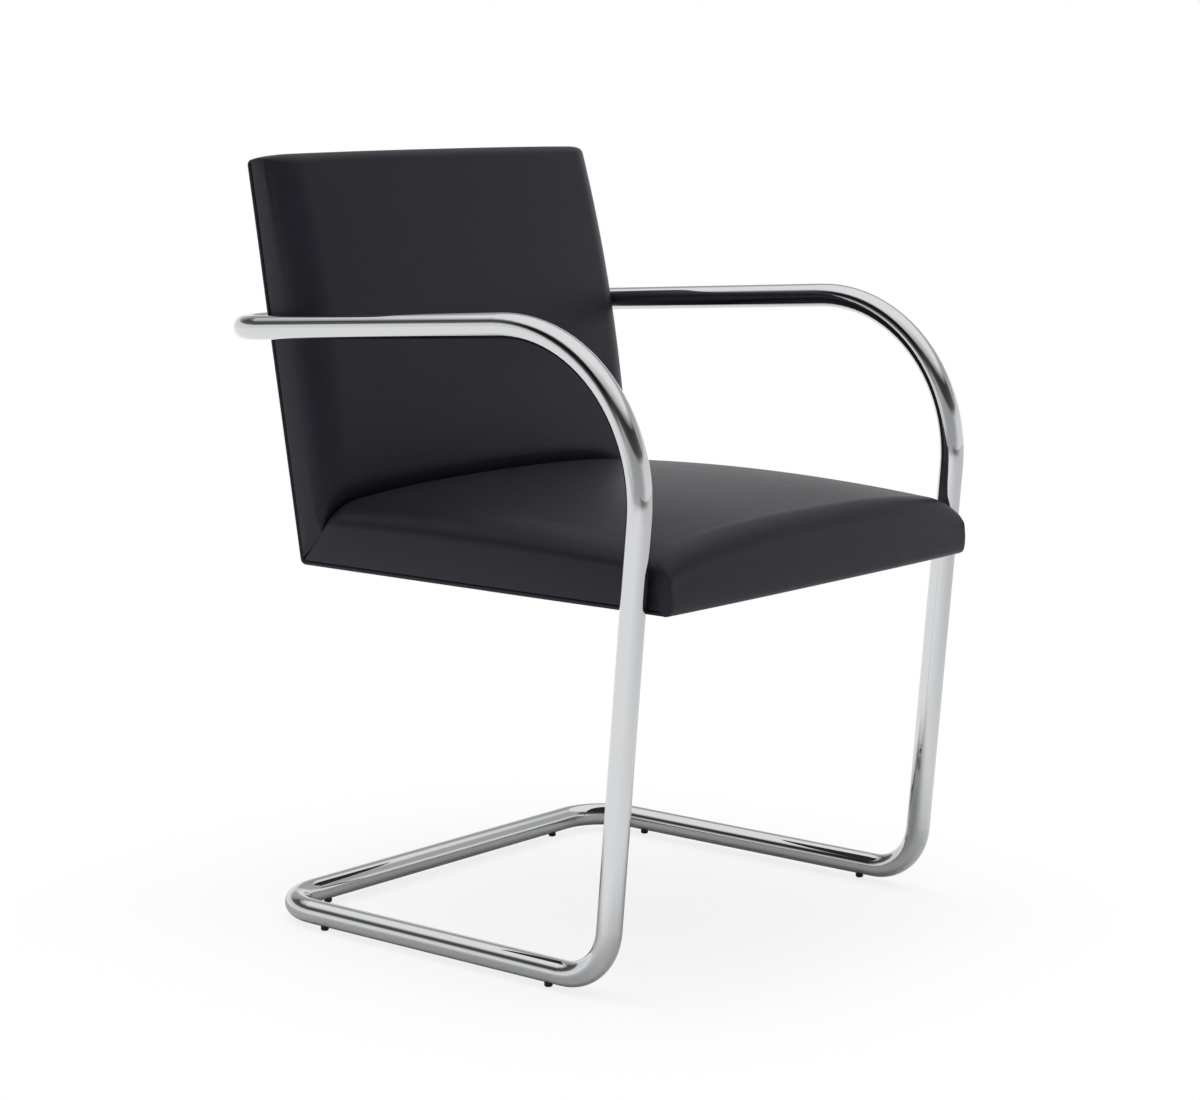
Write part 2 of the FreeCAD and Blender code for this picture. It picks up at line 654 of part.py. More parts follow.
def leg_bolt_reliefs():
    """Room for the heads and washers of the leg bolts, in case a cross rail lies close to them."""
    reliefs = []
    inner = RAIL_INSIDE - WASHER_THICKNESS - LEG_HEAD_HEIGHT - CLEARANCE
    for place in leg_bolt_places():
        start = vec(inner, place.y, place.z)
        reliefs.append(rod(start, vec(RAIL_INSIDE, place.y, place.z), WASHER_DIAMETER / 2 + CLEARANCE))
    return both(reliefs)


def seat_cross_rail(y, thickness):
    rail = box(-RAIL_INSIDE, RAIL_INSIDE, y - thickness / 2, y + thickness / 2, RAIL_BOTTOM, RAIL_TOP)
    rail = rail.cut(leg_bolt_reliefs())
    for screw in underside_screws(0):
        rail = rail.cut(screw)
    return cut_dowel_holes(rail)


def back_stile():
    stile = back_box(RAIL_INSIDE, FRAME_SIDE, -BACK_RAIL_HEIGHT, BACK_FRAME_TOP, BACK_FRAME_T,
                     BACK_FRAME_FRONT_T)
    floor = box(0, SEAT_WIDTH, 0, BACK_CORNER_Y * 2, 0, RAIL_BOTTOM)
    stile = stile.common(mitre_block(-BACK_HEIGHT * 2, -SOFT_GAP / 2)).cut(floor).cut(corner_plate_blank())
    for screw in plate_screws(0):
        stile = stile.cut(screw)
    return cut_dowel_holes(stile)


def back_rail(centre, height):
    rail = back_box(-RAIL_INSIDE, RAIL_INSIDE, centre - height / 2, centre + height / 2, BACK_FRAME_T,
                    BACK_FRAME_FRONT_T)
    return cut_dowel_holes(rail)


# Webbing
def evenly(count, low, high):
    """Centres of bands of webbing between two limits."""
    pitch = (high - low) / count
    return [low + pitch * (k + 0.5) for k in range(count)]


def seat_webbing_lengthwise():
    half = WEB_WIDTH / 2
    front = RAIL_FRONT_Y
    rear = SEAT_REAR_RAIL_Y + RAIL_THICKNESS / 2
    return [box(x - half, x + half, front, rear, RAIL_TOP, RAIL_TOP + WEB_THICKNESS)
            for x in evenly(SEAT_WEBS_LENGTHWISE, -RAIL_INSIDE, RAIL_INSIDE)]


def seat_webbing_crosswise():
    half = WEB_WIDTH / 2
    front = RAIL_FRONT_Y + FRONT_RAIL_THICKNESS
    rear = SEAT_REAR_RAIL_Y - RAIL_THICKNESS / 2
    return [box(-FRAME_SIDE, FRAME_SIDE, y - half, y + half, RAIL_TOP + WEB_THICKNESS, WEB_TOP)
            for y in evenly(SEAT_WEBS_CROSSWISE, front, rear)]


def back_webbing():
    half = WEB_WIDTH / 2
    low = BACK_BOTTOM_RAIL_S + BACK_RAIL_HEIGHT
    high = BACK_FRAME_TOP - BACK_RAIL_HEIGHT
    front = BACK_FRAME_FRONT_T + WEB_THICKNESS
    return [back_box(-FRAME_SIDE, FRAME_SIDE, s - half, s + half, BACK_FRAME_FRONT_T, front)
            for s in evenly(BACK_WEBS, low, high)]


# Metal fittings
def leg_boss(place):
    """A threaded boss brazed into the leg. The seat rail seats on its face."""
    start = vec(FRAME_SIDE + FIT, place.y, place.z)
    end = vec(BOSS_INNER_X, place.y, place.z)
    return rod(start, end, BOSS_DIAMETER / 2).cut(rod(start, end, LEG_BOLT / 2 + FIT))


def leg_washer(place):
    start = vec(RAIL_INSIDE - WASHER_THICKNESS, place.y, place.z)
    end = vec(RAIL_INSIDE, place.y, place.z)
    return rod(start, end, WASHER_DIAMETER / 2).cut(rod(start, end, LEG_BOLT / 2 + CLEARANCE))


def back_spacer():
    """A turned post between the back frame and the rear cross tube, hollowed to the tube."""
    post = back_bolt_hole(SPACER_DIAMETER / 2, SPACER_T, BACK_FRAME_T)
    bore = back_bolt_hole(BACK_BOLT / 2 + CLEARANCE, SPACER_T, BACK_FRAME_T)
    saddle = rod(vec(0, ARM_REAR_Y, ARM_REAR_Z), vec(SPACER_X * 2, ARM_REAR_Y, ARM_REAR_Z), TUBE_R)
    return post.cut(bore).cut(saddle)


def back_bolt():
    """A domed bolt from behind the cross tube, through the post, into a nut in the back frame."""
    seat_t = SPACER_T - TUBE_R - CLEARANCE
    head = back_bolt_hole(BACK_HEAD_DIAMETER / 2, seat_t - BACK_HEAD_HEIGHT, seat_t + CLEARANCE * 6)
    saddle = rod(vec(0, ARM_REAR_Y, ARM_REAR_Z), vec(SPACER_X * 2, ARM_REAR_Y, ARM_REAR_Z), TUBE_R)
    rim = [edge for edge in head.Edges if edge.CenterOfMass.distanceToPoint(
        on_back(SPACER_X, SPACER_S, seat_t - BACK_HEAD_HEIGHT)) < FIT]
    head = head.makeFillet(BACK_HEAD_ROUND, rim).cut(saddle)
    shank = back_bolt_hole(BACK_BOLT / 2 - FIT, seat_t - BACK_HEAD_HEIGHT / 2, BACK_FRAME_FRONT_T - 1)
    socket = back_bolt_hole(HEX_KEY / 2, seat_t - BACK_HEAD_HEIGHT - 1, seat_t - BACK_HEAD_HEIGHT / 2)
    return head.fuse(shank).cut(socket).removeSplitter()


def back_tee_nut():
    flange_t = BACK_FRAME_FRONT_T - TEE_NUT_FLANGE_THICKNESS
    flange = back_bolt_hole(TEE_NUT_FLANGE / 2, flange_t, BACK_FRAME_FRONT_T)
    barrel = back_bolt_hole(TEE_NUT_BARREL / 2, BACK_FRAME_FRONT_T - TEE_NUT_DEPTH, flange_t)
    bore = back_bolt_hole(BACK_BOLT / 2, BACK_FRAME_FRONT_T - TEE_NUT_DEPTH, BACK_FRAME_FRONT_T)
    return flange.fuse(barrel).cut(bore).removeSplitter()


def back_middle_rail():
    """The rail that carries the posts: drilled for bolts and nuts."""
    rail = back_rail(SPACER_S, MIDDLE_RAIL_HEIGHT)
    flange_t = BACK_FRAME_FRONT_T - TEE_NUT_FLANGE_THICKNESS
    barrel_t = BACK_FRAME_FRONT_T - TEE_NUT_DEPTH - FIT
    for tool in (
        back_bolt_hole(BACK_BOLT / 2 + CLEARANCE, 0, BACK_FRAME_FRONT_T),
        back_bolt_hole(TEE_NUT_BARREL / 2 + FIT, barrel_t, BACK_FRAME_FRONT_T),
        back_bolt_hole(TEE_NUT_FLANGE / 2 + FIT, flange_t, BACK_FRAME_FRONT_T + 1),
    ):
        rail = rail.cut(tool).cut(mirrored(tool))
    return rail


os.makedirs("parts", exist_ok=True)
left_tube = frame_tube()
save("frame_tube_left", [left_tube])
save("frame_tube_right", [mirrored(left_tube)])
save("base_joint_sleeve", [joint_sleeve(BASE_REAR_Y, BASE_Z)])
save("back_joint_sleeve", [joint_sleeve(ARM_REAR_Y, ARM_REAR_Z)])
for place_name, place in glide_places().items():
    foot = glide(place)
    save("glide_" + place_name, [foot])
    save("glide_" + place_name.replace("left", "right"), [mirrored(foot)])

rail = seat_side_rail()
stile = back_stile()
plate = corner_plate()
save("seat_side_rail_left", [rail])
save("seat_side_rail_right", [mirrored(rail)])
save("seat_front_rail", [seat_cross_rail(RAIL_FRONT_Y + FRONT_RAIL_THICKNESS / 2, FRONT_RAIL_THICKNESS)])
save("seat_rear_rail", [seat_cross_rail(SEAT_REAR_RAIL_Y, RAIL_THICKNESS)])
save("back_stile_left", [stile])
save("back_stile_right", [mirrored(stile)])
top_centre, middle_centre, bottom_centre = back_rail_centres()
save("back_top_rail", [back_rail(top_centre, BACK_RAIL_HEIGHT)])
save("back_middle_rail", [back_middle_rail()])
save("back_bottom_rail", [back_rail(bottom_centre, BACK_RAIL_HEIGHT)])
save("frame_dowels", both(left_dowels()))
save("corner_plate_left", [plate])
save("corner_plate_right", [mirrored(plate)])
save("corner_plate_screws", both(plate_screws(0)))

save("seat_webbing_lengthwise", seat_webbing_lengthwise())
save("seat_webbing_crosswise", seat_webbing_crosswise())
save("back_webbing", back_webbing())
save("seat_foam", [seat_foam()])
save("back_foam", [back_foam()])
save("seat_cover", [seat_cover()])
save("back_cover", [back_cover()])
save("outer_back_panel", [outer_back_panel()])
save("underside_panel", [underside_panel()])
save("underside_panel_screws", underside_screws(0))
side_piping = piping_side()
save("piping_left", [side_piping])
save("piping_right", [mirrored(side_piping)])
save("piping_top", [piping_top()])

save("leg_bosses", both([leg_boss(place) for place in leg_bolt_places()]))
save("leg_bolts", both([leg_bolt(place, 0) for place in leg_bolt_places()]))
save("leg_washers", both([leg_washer(place) for place in leg_bolt_places()]))
post = back_spacer()
save("back_spacer_left", [post])
save("back_spacer_right", [mirrored(post)])
save("back_bolts", both([back_bolt()]))
save("back_tee_nuts", both([back_tee_nut()]))
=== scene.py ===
# %% [markdown]
# # A cantilever armchair in chromed tube and black leather
#
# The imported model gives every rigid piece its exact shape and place: the bent tube, the posts,
# the bolts, the glides and the hidden wooden frame. They stay as they are and only get a finish.
# The upholstery is soft, so its plain solids are swapped for shapes that are modelled here: a
# seat, a back, the leather piping, the leather panel behind the back and the cloth under the seat.
#
# The script reads from top to bottom. Each step says what the piece is on the real chair, and why
# it is made this way in Blender.

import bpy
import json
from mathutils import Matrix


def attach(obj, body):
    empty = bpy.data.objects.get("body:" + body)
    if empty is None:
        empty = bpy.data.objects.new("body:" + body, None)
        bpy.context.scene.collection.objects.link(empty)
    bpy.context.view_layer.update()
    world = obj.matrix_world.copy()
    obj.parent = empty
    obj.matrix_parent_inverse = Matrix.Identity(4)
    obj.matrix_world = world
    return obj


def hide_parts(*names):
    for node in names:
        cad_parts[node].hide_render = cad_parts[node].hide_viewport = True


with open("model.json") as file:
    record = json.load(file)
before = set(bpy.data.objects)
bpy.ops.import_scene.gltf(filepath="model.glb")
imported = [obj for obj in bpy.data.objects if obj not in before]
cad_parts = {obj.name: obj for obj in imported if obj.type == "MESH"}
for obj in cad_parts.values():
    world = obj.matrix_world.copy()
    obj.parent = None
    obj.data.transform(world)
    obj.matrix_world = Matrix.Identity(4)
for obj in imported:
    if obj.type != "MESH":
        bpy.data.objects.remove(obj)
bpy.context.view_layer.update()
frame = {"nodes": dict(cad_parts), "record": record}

import json
from math import cos, pi, radians, sin, sqrt, tan

import bpy
import numpy as np
from mathutils import Matrix, Vector

MM = 0.001
nodes = frame["nodes"]

# %% [markdown]
# ## The camera
#
# A photograph fixes where the camera stood: straight edges of known length on the chair give its
# place, its direction and its focal length. The lens is long, so the chair keeps its proportions.
# A level camera keeps upright legs upright in the picture, but it looks over the chair. This one
# looks down by seven degrees, and a small downward shift of the lens does the rest.

# %% Camera
IMAGE_WIDTH_PX = 1200
FOCAL_PX = 3043.56
SENSOR_WIDTH = 36
LENS_SHIFT = -0.075
CAMERA_PLACE = (-2.46141, -2.03595, 0.88609)
CAMERA_YAW = -0.88099
CAMERA_PITCH = -0.12659
CAMERA_ROLL = 0.001719


def camera_axes():
    """The camera's right, up and backward directions."""
    forward = Vector((
        sin(-CAMERA_YAW) * cos(CAMERA_PITCH),
        cos(CAMERA_YAW) * cos(CAMERA_PITCH),
        sin(CAMERA_PITCH),
    ))
    right = forward.cross(Vector((0, 0, 1))).normalized()
    up = right.cross(forward)
    turned_right = right * cos(CAMERA_ROLL) + up * sin(CAMERA_ROLL)
    turned_up = up * cos(CAMERA_ROLL) - right * sin(CAMERA_ROLL)
    return turned_right, turned_up, -forward


def add_object(name, data):
    made = bpy.data.objects.new(name, data)
    bpy.context.scene.collection.objects.link(made)
    return made


camera_data = bpy.data.cameras.new("camera")
camera_data.sensor_width = SENSOR_WIDTH
camera_data.lens = FOCAL_PX / IMAGE_WIDTH_PX * SENSOR_WIDTH
camera_data.shift_y = LENS_SHIFT
camera = add_object("camera", camera_data)
turn = Matrix(camera_axes()).transposed().to_4x4()
camera.matrix_world = Matrix.Translation(CAMERA_PLACE) @ turn
bpy.context.scene.camera = camera
print("lens %.1f mm" % camera_data.lens)

# %% [markdown]
# ## Shader maths as plain expressions
#
# A finish is a small program: noise becomes a mask, the mask is scaled, and the result drives a
# colour or a bump. Written as nodes it is long, so this class wraps a node's output and adds the
# Math node whenever two values meet an operator. Any other node comes from `node`, which sets
# the node's options first and its sockets after that.

# %% A wrapped socket
class Wire:
    """A socket of a node tree that can be used in sums."""

    def __init__(self, tree, socket=None):
        self.tree = tree
        self.socket = socket

    def node(self, kind, settings=None, inputs=None, output=0):
        """Adds a node. inputs gives values or wires by socket name or number."""
        made = self.tree.nodes.new("ShaderNode" + kind)
        for name, value in (settings or {}).items():
            if name == "stops":
                fill_ramp(made.color_ramp, value)
            else:
                setattr(made, name, value)
        for key, value in (inputs or {}).items():
            if isinstance(value, Wire):
                self.tree.links.new(value.socket, made.inputs[key])
            else:
                made.inputs[key].default_value = value
        return Wire(self.tree, made.outputs[output])

    def maths(self, operation, first, second, clamp=False):
        settings = {"operation": operation, "use_clamp": clamp}
        return self.node("Math", settings, {0: first, 1: second})

    def __add__(self, other):
        return self.maths("ADD", self, other)

    def __radd__(self, other):
        return self.maths("ADD", other, self)

    def __sub__(self, other):
        return self.maths("SUBTRACT", self, other)

    def __rsub__(self, other):
        return self.maths("SUBTRACT", other, self)

    def __mul__(self, other):
        return self.maths("MULTIPLY", self, other)

    def __rmul__(self, other):
        return self.maths("MULTIPLY", other, self)

    def __truediv__(self, other):
        return self.maths("DIVIDE", self, other)

    def __pow__(self, other):
        return self.maths("POWER", self, other)

    def size(self):
        return self.maths("ABSOLUTE", self, 0.0)

    def larger(self, other):
        """The larger of this value and another."""
        return self.maths("MAXIMUM", self, other)

    def clipped(self):
        """Kept from 0 to 1."""
        return self.maths("ADD", self, 0.0, clamp=True)

    def between(self, low, high):
        """0 at low, 1 at high, smooth in between."""
        settings = {"interpolation_type": "SMOOTHSTEP"}
        return self.node("MapRange", settings, {"Value": self, "From Min": low, "From Max": high})

    def colours(self, low, high):
        """A colour that goes from low to high as this value goes from 0 to 1."""
        settings = {"data_type": "RGBA"}
        return self.node("Mix", settings, {0: self, 6: rgba(low), 7: rgba(high)}, output=2)


def rgba(colour):
    return (*colour, 1.0)


def fill_ramp(ramp, stops):
    """Gives a colour ramp these stops, and takes out the two it starts with."""
    for place, shade in stops:
        point = ramp.elements.new(place)
        point.color = (shade, shade, shade, 1)
    ramp.elements.remove(ramp.elements[0])
    ramp.elements.remove(ramp.elements[-1])


# %% [markdown]
# Every finish starts the same way: a new material, one Principled shader, and the position on the
# piece. Positions are in metres and the pieces don't move against their own frame, so a pattern
# of 1 mm grain stays 1 mm on every piece, with no unwrapping.

# %% A finish and its position
def new_finish(name, base, **constants):
    """A material, its Principled node, and a wire with the position in metres.

    base is the colour of a plain finish, and the average of one with a pattern.
    """
    material = bpy.data.materials.new(name)
    material.use_nodes = True
    tree = material.node_tree
    shader = tree.nodes["Principled BSDF"]
    shader.inputs["Base Color"].default_value = rgba(base)
    for key, value in constants.items():
        shader.inputs[key.replace("_", " ")].default_value = value
    return material, shader, Wire(tree).node("TexCoord", output=3)


def feed(shader, **links):
    """Joins wires to the Principled node's sockets."""
    for key, wire in links.items():
        wire.tree.links.new(wire.socket, shader.inputs[key.replace("_", " ")])


def noise(place, scale, detail=2.0, rough=0.5):
    """Soft patches, about scale of them to the metre. detail adds finer ones inside."""
    inputs = {"Vector": place, "Scale": scale, "Detail": detail, "Roughness": rough}
    return place.node("TexNoise", {}, inputs)


def bumped(height, strength, depth, normal=None):
    """A bump whose full height is depth, in metres."""
    inputs = {"Strength": strength, "Distance": depth, "Height": height}
    if normal is not None:
        inputs["Normal"] = normal
    return height.node("Bump", {}, inputs)


# %% [markdown]
# ## Chrome
#
# Chrome plate on polished tube is a nearly perfect mirror, and its colour is what it reflects. It
# is not quite even: buffing leaves faint waves and a haze that changes from place to place, which
# soften the edge of a reflection. Both are far too shallow to see by themselves.

# %% Chrome finish
def chrome_finish():
    material, shader, place = new_finish("chrome_steel", (0.66, 0.67, 0.68), Metallic=1.0)
    haze = noise(place, 9.0, 4.0)
    rubs = noise(place, 240.0, 3.0)
    waves = noise(place, 14.0, 1.0)
    feed(shader, Roughness=0.02 + haze * 0.02 + rubs * 0.01)
    feed(shader, Normal=bumped(waves, 0.12, 0.0004))
    return material


# %% [markdown]
# ## Leather
#
# The leather is dyed through and has a fine, even grain: shallow rounded cells about a millimetre
# across, and a wider net of creases over them. Voronoi patterns give both, and a warp by noise
# keeps them from looking like tiles. The dye is nearly black with a trace of violet. It is a
# little paler between the creases, where it is touched most. Its gloss is weak and tinted, so a
# bright wall shows in it only where it is seen nearly edge on.

# %% Leather finish
CELLS_PER_METRE = 820.0
CREASES_PER_METRE = 420.0
WARP_SIZE = 0.0016
GRAIN_DEPTH = 0.00022
PUCKER_DEPTH = 0.0012


def leather_finish():
    material, shader, place = new_finish(
        "black_leather",
        (0.018, 0.017, 0.022),
        Specular_IOR_Level=0.24,
        Specular_Tint=(0.84, 0.81, 1.0, 1.0),
    )
    warp = place.node("TexNoise", {}, {"Vector": place, "Scale": 160.0, "Detail": 2.0}, output=1)
    scaled = place.node("VectorMath", {"operation": "SCALE"}, {0: warp, "Scale": WARP_SIZE})
    warped = place.node("VectorMath", {"operation": "ADD"}, {0: place, 1: scaled})
    inputs = {"Vector": warped, "Scale": CELLS_PER_METRE, "Smoothness": 0.35}
    cells = place.node("TexVoronoi", {"feature": "SMOOTH_F1"}, inputs)
    inputs = {"Vector": warped, "Scale": CREASES_PER_METRE}
    creases = place.node("TexVoronoi", {"feature": "DISTANCE_TO_EDGE"}, inputs)
    dents = creases.between(0.0, 0.12)
    hide = noise(place, 7.0, 3.0)
    mottle = noise(place, 60.0, 4.0, 0.6)
    tone = (0.55 * hide + 0.3 * mottle + 0.15 * dents).clipped()
    feed(shader, Base_Color=tone.colours((0.0142, 0.0132, 0.0182), (0.0214, 0.0200, 0.0270)))
    feed(shader, Roughness=0.33 + 0.07 * mottle + 0.06 * cells)
    grain = (1.0 - cells) * 0.6 + dents * 0.4
    puckers = bumped(mottle, 0.2, PUCKER_DEPTH)
    feed(shader, Normal=bumped(grain, 0.32, GRAIN_DEPTH, puckers))
    return material


# %% [markdown]
# ## The other finishes
#
# The rest is hidden in the upholstery or small, but each piece still gets what it is made of:
# steel with black zinc plating and its crystalline mottle, moulded nylon, planed beech with its
# growth lines, woven jute, the fibrous black cloth under the seat, and open foam.

# %% Steel, nylon, beech, jute, cloth and foam
def zinc_finish():
    material, shader, place = new_finish("zinc_steel", (0.05, 0.05, 0.053), Metallic=1.0)
    patches = place.node("TexVoronoi", {}, {"Vector": place, "Scale": 300.0}, output=1)
    tone = place.node("RGBToBW", {}, {0: patches})
    feed(shader, Base_Color=tone.colours((0.035, 0.035, 0.038), (0.07, 0.07, 0.074)))
    feed(shader, Roughness=0.3 + 0.15 * tone)
    feed(shader, Normal=bumped(noise(place, 900.0), 0.1, 0.0001))
    return material


def nylon_finish():
    material, shader, place = new_finish("black_nylon", (0.02, 0.02, 0.021))
    texture = noise(place, 2200.0)
    feed(shader, Base_Color=texture.colours((0.016, 0.016, 0.017), (0.026, 0.026, 0.027)))
    feed(shader, Roughness=0.42 + 0.15 * texture)
    feed(shader, Normal=bumped(texture, 0.25, 0.00008))
    return material


def beech_finish():
    material, shader, place = new_finish("beech", (0.7, 0.5, 0.33))
    stretched = place.node("Mapping", {}, {"Vector": place, "Scale": (9.0, 60.0, 60.0)})
    growth = noise(stretched, 1.2, 4.0, 0.6)
    flecks = noise(place, 1500.0)
    tone = (growth * 0.8 + flecks * 0.2).between(0.3, 0.7)
    feed(shader, Base_Color=tone.colours((0.55, 0.36, 0.21), (0.74, 0.54, 0.36)))
    feed(shader, Roughness=0.5 + 0.15 * growth)
    feed(shader, Normal=bumped(growth, 0.2, 0.0003))
    return material


def jute_finish():
    material, shader, place = new_finish("jute_webbing", (0.5, 0.4, 0.26), Roughness=0.9)
    inputs = {"Vector": place, "Scale": 160.0, "Distortion": 0.4}
    along = place.node("TexWave", {"bands_direction": "X"}, inputs)
    across = place.node("TexWave", {"bands_direction": "Y"}, inputs)
    weave = along * 0.5 + across * 0.5
    feed(shader, Base_Color=weave.colours((0.33, 0.25, 0.15), (0.6, 0.49, 0.33)))
    feed(shader, Normal=bumped(weave, 0.5, 0.0006))
    return material


def dust_cloth_finish():
    material, shader, place = new_finish("dust_cover", (0.02, 0.02, 0.02), Roughness=0.85)
    fibres = noise(place, 1400.0, 5.0, 0.7)
    inputs = {"Vector": place, "Scale": 420.0}
    dimples = place.node("TexVoronoi", {"feature": "SMOOTH_F1"}, inputs)
    feed(shader, Base_Color=fibres.colours((0.012, 0.012, 0.013), (0.034, 0.034, 0.036)))
    feed(shader, Normal=bumped(fibres * 0.5 + dimples * 0.5, 0.5, 0.0004))
    return material


def foam_finish():
    material, shader, place = new_finish("foam", (0.85, 0.8, 0.62), Roughness=0.95)
    pores = place.node("TexVoronoi", {}, {"Vector": place, "Scale": 700.0})
    feed(shader, Base_Color=pores.colours((0.7, 0.64, 0.45), (0.88, 0.83, 0.66)))
    feed(shader, Normal=bumped(pores, 0.6, 0.0006))
    return material


finishes = {
    "chrome_steel": chrome_finish(),
    "black_leather": leather_finish(),
    "zinc_steel": zinc_finish(),
    "black_nylon": nylon_finish(),
    "beech": beech_finish(),
    "jute_webbing": jute_finish(),
    "dust_cover": dust_cloth_finish(),
    "foam": foam_finish(),
}
finish_of = {part["node"]: part["material_slot"] for part in frame["record"]["subparts"]}
for name, node in nodes.items():
    for slot in node.material_slots:
        slot.material = finishes[finish_of[name]]
print("finishes:", ", ".join(finishes))

# %% [markdown]
# ## Measures of the upholstery
#
# Seat and back are two boxes of foam on a wooden frame, wrapped in leather, that meet in a mitre.
# The numbers are the model's own, in millimetres. The back leans by ten degrees, so its points are
# given by how far up it they lie (s) and how far forward of its rear plane (t).

# %% Sizes and the leaning back
HALF_WIDTH = 252.0
NOSE_Y = -304.2
SEAT_BOTTOM = 379.0
BODY_FLOOR = 384.1
BACK_CORNER_Y = 189.9
LEAN = radians(10.0)
CREASE_Y = 157.4
CREASE_Z = 445.0
CREASE_GAP = 0.2
BACK_HEIGHT = 427.0
TOP_DROP = 3.5
PIPING = 5.0
QUARTER_MIDDLE = 0.29  # how far the middle of a quarter circle lies inside its corner


def on_back(x, s, t):
    """A point of the leaning back."""
    y = BACK_CORNER_Y + s * sin(LEAN) - t * cos(LEAN)
    z = SEAT_BOTTOM + s * cos(LEAN) + t * sin(LEAN)
    return np.array((x, y, z))


def back_place(y, z):
    """The s and t of a point, the other way round."""
    dy = y - BACK_CORNER_Y
    dz = z - SEAT_BOTTOM
    return dy * sin(LEAN) + dz * cos(LEAN), dz * sin(LEAN) - dy * cos(LEAN)


# %% [markdown]
# ## How a cushion is built
#
# A cushion could be a cube with a subdivision surface, but then its edges and crown would be hard
# to match to a measured outline. Here it is lofted: a closed outline is drawn at many places
# across the width, and the outlines are joined. Towards the sides each outline is pulled in, first
# by the crown, which is the long shallow curve of stretched leather, and then by the rounded
# edge. The two ends are closed with rings that shrink over the flat side of the cushion.

# %% Arcs and lofts
def arc(start, middle, end, count):
    """count points on the circle from start through middle, without the end point."""
    (ax, ay), (bx, by), (cx, cy) = start, middle, end
    d = 2 * (ax * (by - cy) + bx * (cy - ay) + cx * (ay - by))
    a2, b2, c2 = ax * ax + ay * ay, bx * bx + by * by, cx * cx + cy * cy
    ox = (a2 * (by - cy) + b2 * (cy - ay) + c2 * (ay - by)) / d
    oy = (a2 * (cx - bx) + b2 * (ax - cx) + c2 * (bx - ax)) / d
    angle = [np.arctan2(py - oy, px - ox) for px, py in (start, middle, end)]
    way = np.sign(d)
    turned = (angle[2] - angle[0]) * way % (2 * pi) * way
    radius = np.hypot(ax - ox, ay - oy)
    at = angle[0] + turned * np.arange(count) / count
    return np.stack([ox + radius * np.cos(at), oy + radius * np.sin(at)], 1)


def line(start, end, count):
    """count points on the straight run, without the end point."""
    share = np.arange(count)[:, None] / count
    return np.array(start) * (1 - share) + np.array(end) * share


def loft(name, loops, finish):
    """A mesh from loops of points with as many points each. A face closes each end loop."""
    loops = np.asarray(loops, float)
    rows, columns = loops.shape[:2]
    faces = []
    for row in range(rows - 1):
        here = row * columns
        there = here + columns
        for column in range(columns):
            after = (column + 1) % columns
            faces.append((here + column, here + after, there + after, there + column))
    faces.append(tuple(range(columns))[::-1])
    faces.append(tuple(range((rows - 1) * columns, rows * columns)))
    mesh = bpy.data.meshes.new(name)
    mesh.from_pydata((loops.reshape(-1, 3) * MM).tolist(), [], faces)
    mesh.update()
    mesh.shade_smooth()
    mesh.materials.append(finishes[finish])
    face_outwards(mesh)
    return add_object(name, mesh)


def face_outwards(mesh):
    """Turns a closed mesh right side out: its signed volume has to be above zero."""
    corners = np.array([v.co for v in mesh.vertices])
    volume = 0.0
    for face in mesh.polygons:
        points = corners[list(face.vertices)]
        for k in range(1, len(points) - 1):
            volume += np.dot(points[0], np.cross(points[k], points[k + 1]))
    if volume < 0:
        mesh.flip_normals()


# %% [markdown]
# The rounded edge is not a plain quarter circle. Stretched leather presses the foam's corner in, so
# the edge follows a curve between a circle and a straight chamfer, and is wider than it is deep.
# The last millimetres also tuck in at the seams, where the leather turns under to the piping and
# into the mitre. At its lower end the mitre opens a little.

# %% Places across the width
CROWN_POWER = 2.6
FULLNESS = 1.85
TUCK = 1.8
TUCK_WIDTH = 3.0
CREASE_FALL = 31.0
CREASE_EDGE = 36.0
CREASE_CROWN_SHARE = 0.32
CREASE_EDGE_SHARE = 0.68
GASH_WIDTH = 5.0
GASH_START = 0.6
GASH_POWER = 1.3
CROWN_COUNT = 26
EDGE_COUNT = 18
EDGE_END = radians(87)
MITRE_COUNT = 14
RING_SHARES = (0.015, 0.05, 0.12, 0.25, 0.42, 0.62, 0.82, 0.96)
SHARP_ANGLE = radians(38)


def edge_pull(x, radius):
    """How far the rounded edge has drawn the outline in at x."""
    share = min(1.0, max(0.0, (abs(x) - HALF_WIDTH + radius) / radius))
    return radius * (1 - (1 - share ** FULLNESS) ** (1 / FULLNESS))


def tuck_at(x):
    """How far the leather tucks in at the seams at x."""
    share = max(0.0, (abs(x) - HALF_WIDTH + TUCK_WIDTH) / TUCK_WIDTH)
    return TUCK * (1 - sqrt(max(0.0, 1 - share * share)))


def places_across(radius):
    """Places from side to side, close together where the edge turns.

    The last ones lie a hair inside the sides, so that the rings can go on from there.
    """
    inner = HALF_WIDTH - radius
    right = [inner * k / CROWN_COUNT for k in range(1, CROWN_COUNT)]
    for k in range(EDGE_COUNT + 1):
        a = EDGE_END * k / EDGE_COUNT
        right.append(HALF_WIDTH - radius * (1 - sin(a) ** (2 / FULLNESS)))
    return [-x for x in reversed(right)] + [0.0] + right


def crown(x, height):
    """How far the crown has fallen at x, when it falls by height at the side."""
    return height * (abs(x) / HALF_WIDTH) ** CROWN_POWER


def crease_height(x):
    """The crease between seat and back falls away towards the sides."""
    by_edge = CREASE_EDGE_SHARE * edge_pull(x, CREASE_EDGE) / CREASE_EDGE
    return CREASE_Z - CREASE_FALL * (crown(x, CREASE_CROWN_SHARE) + by_edge)


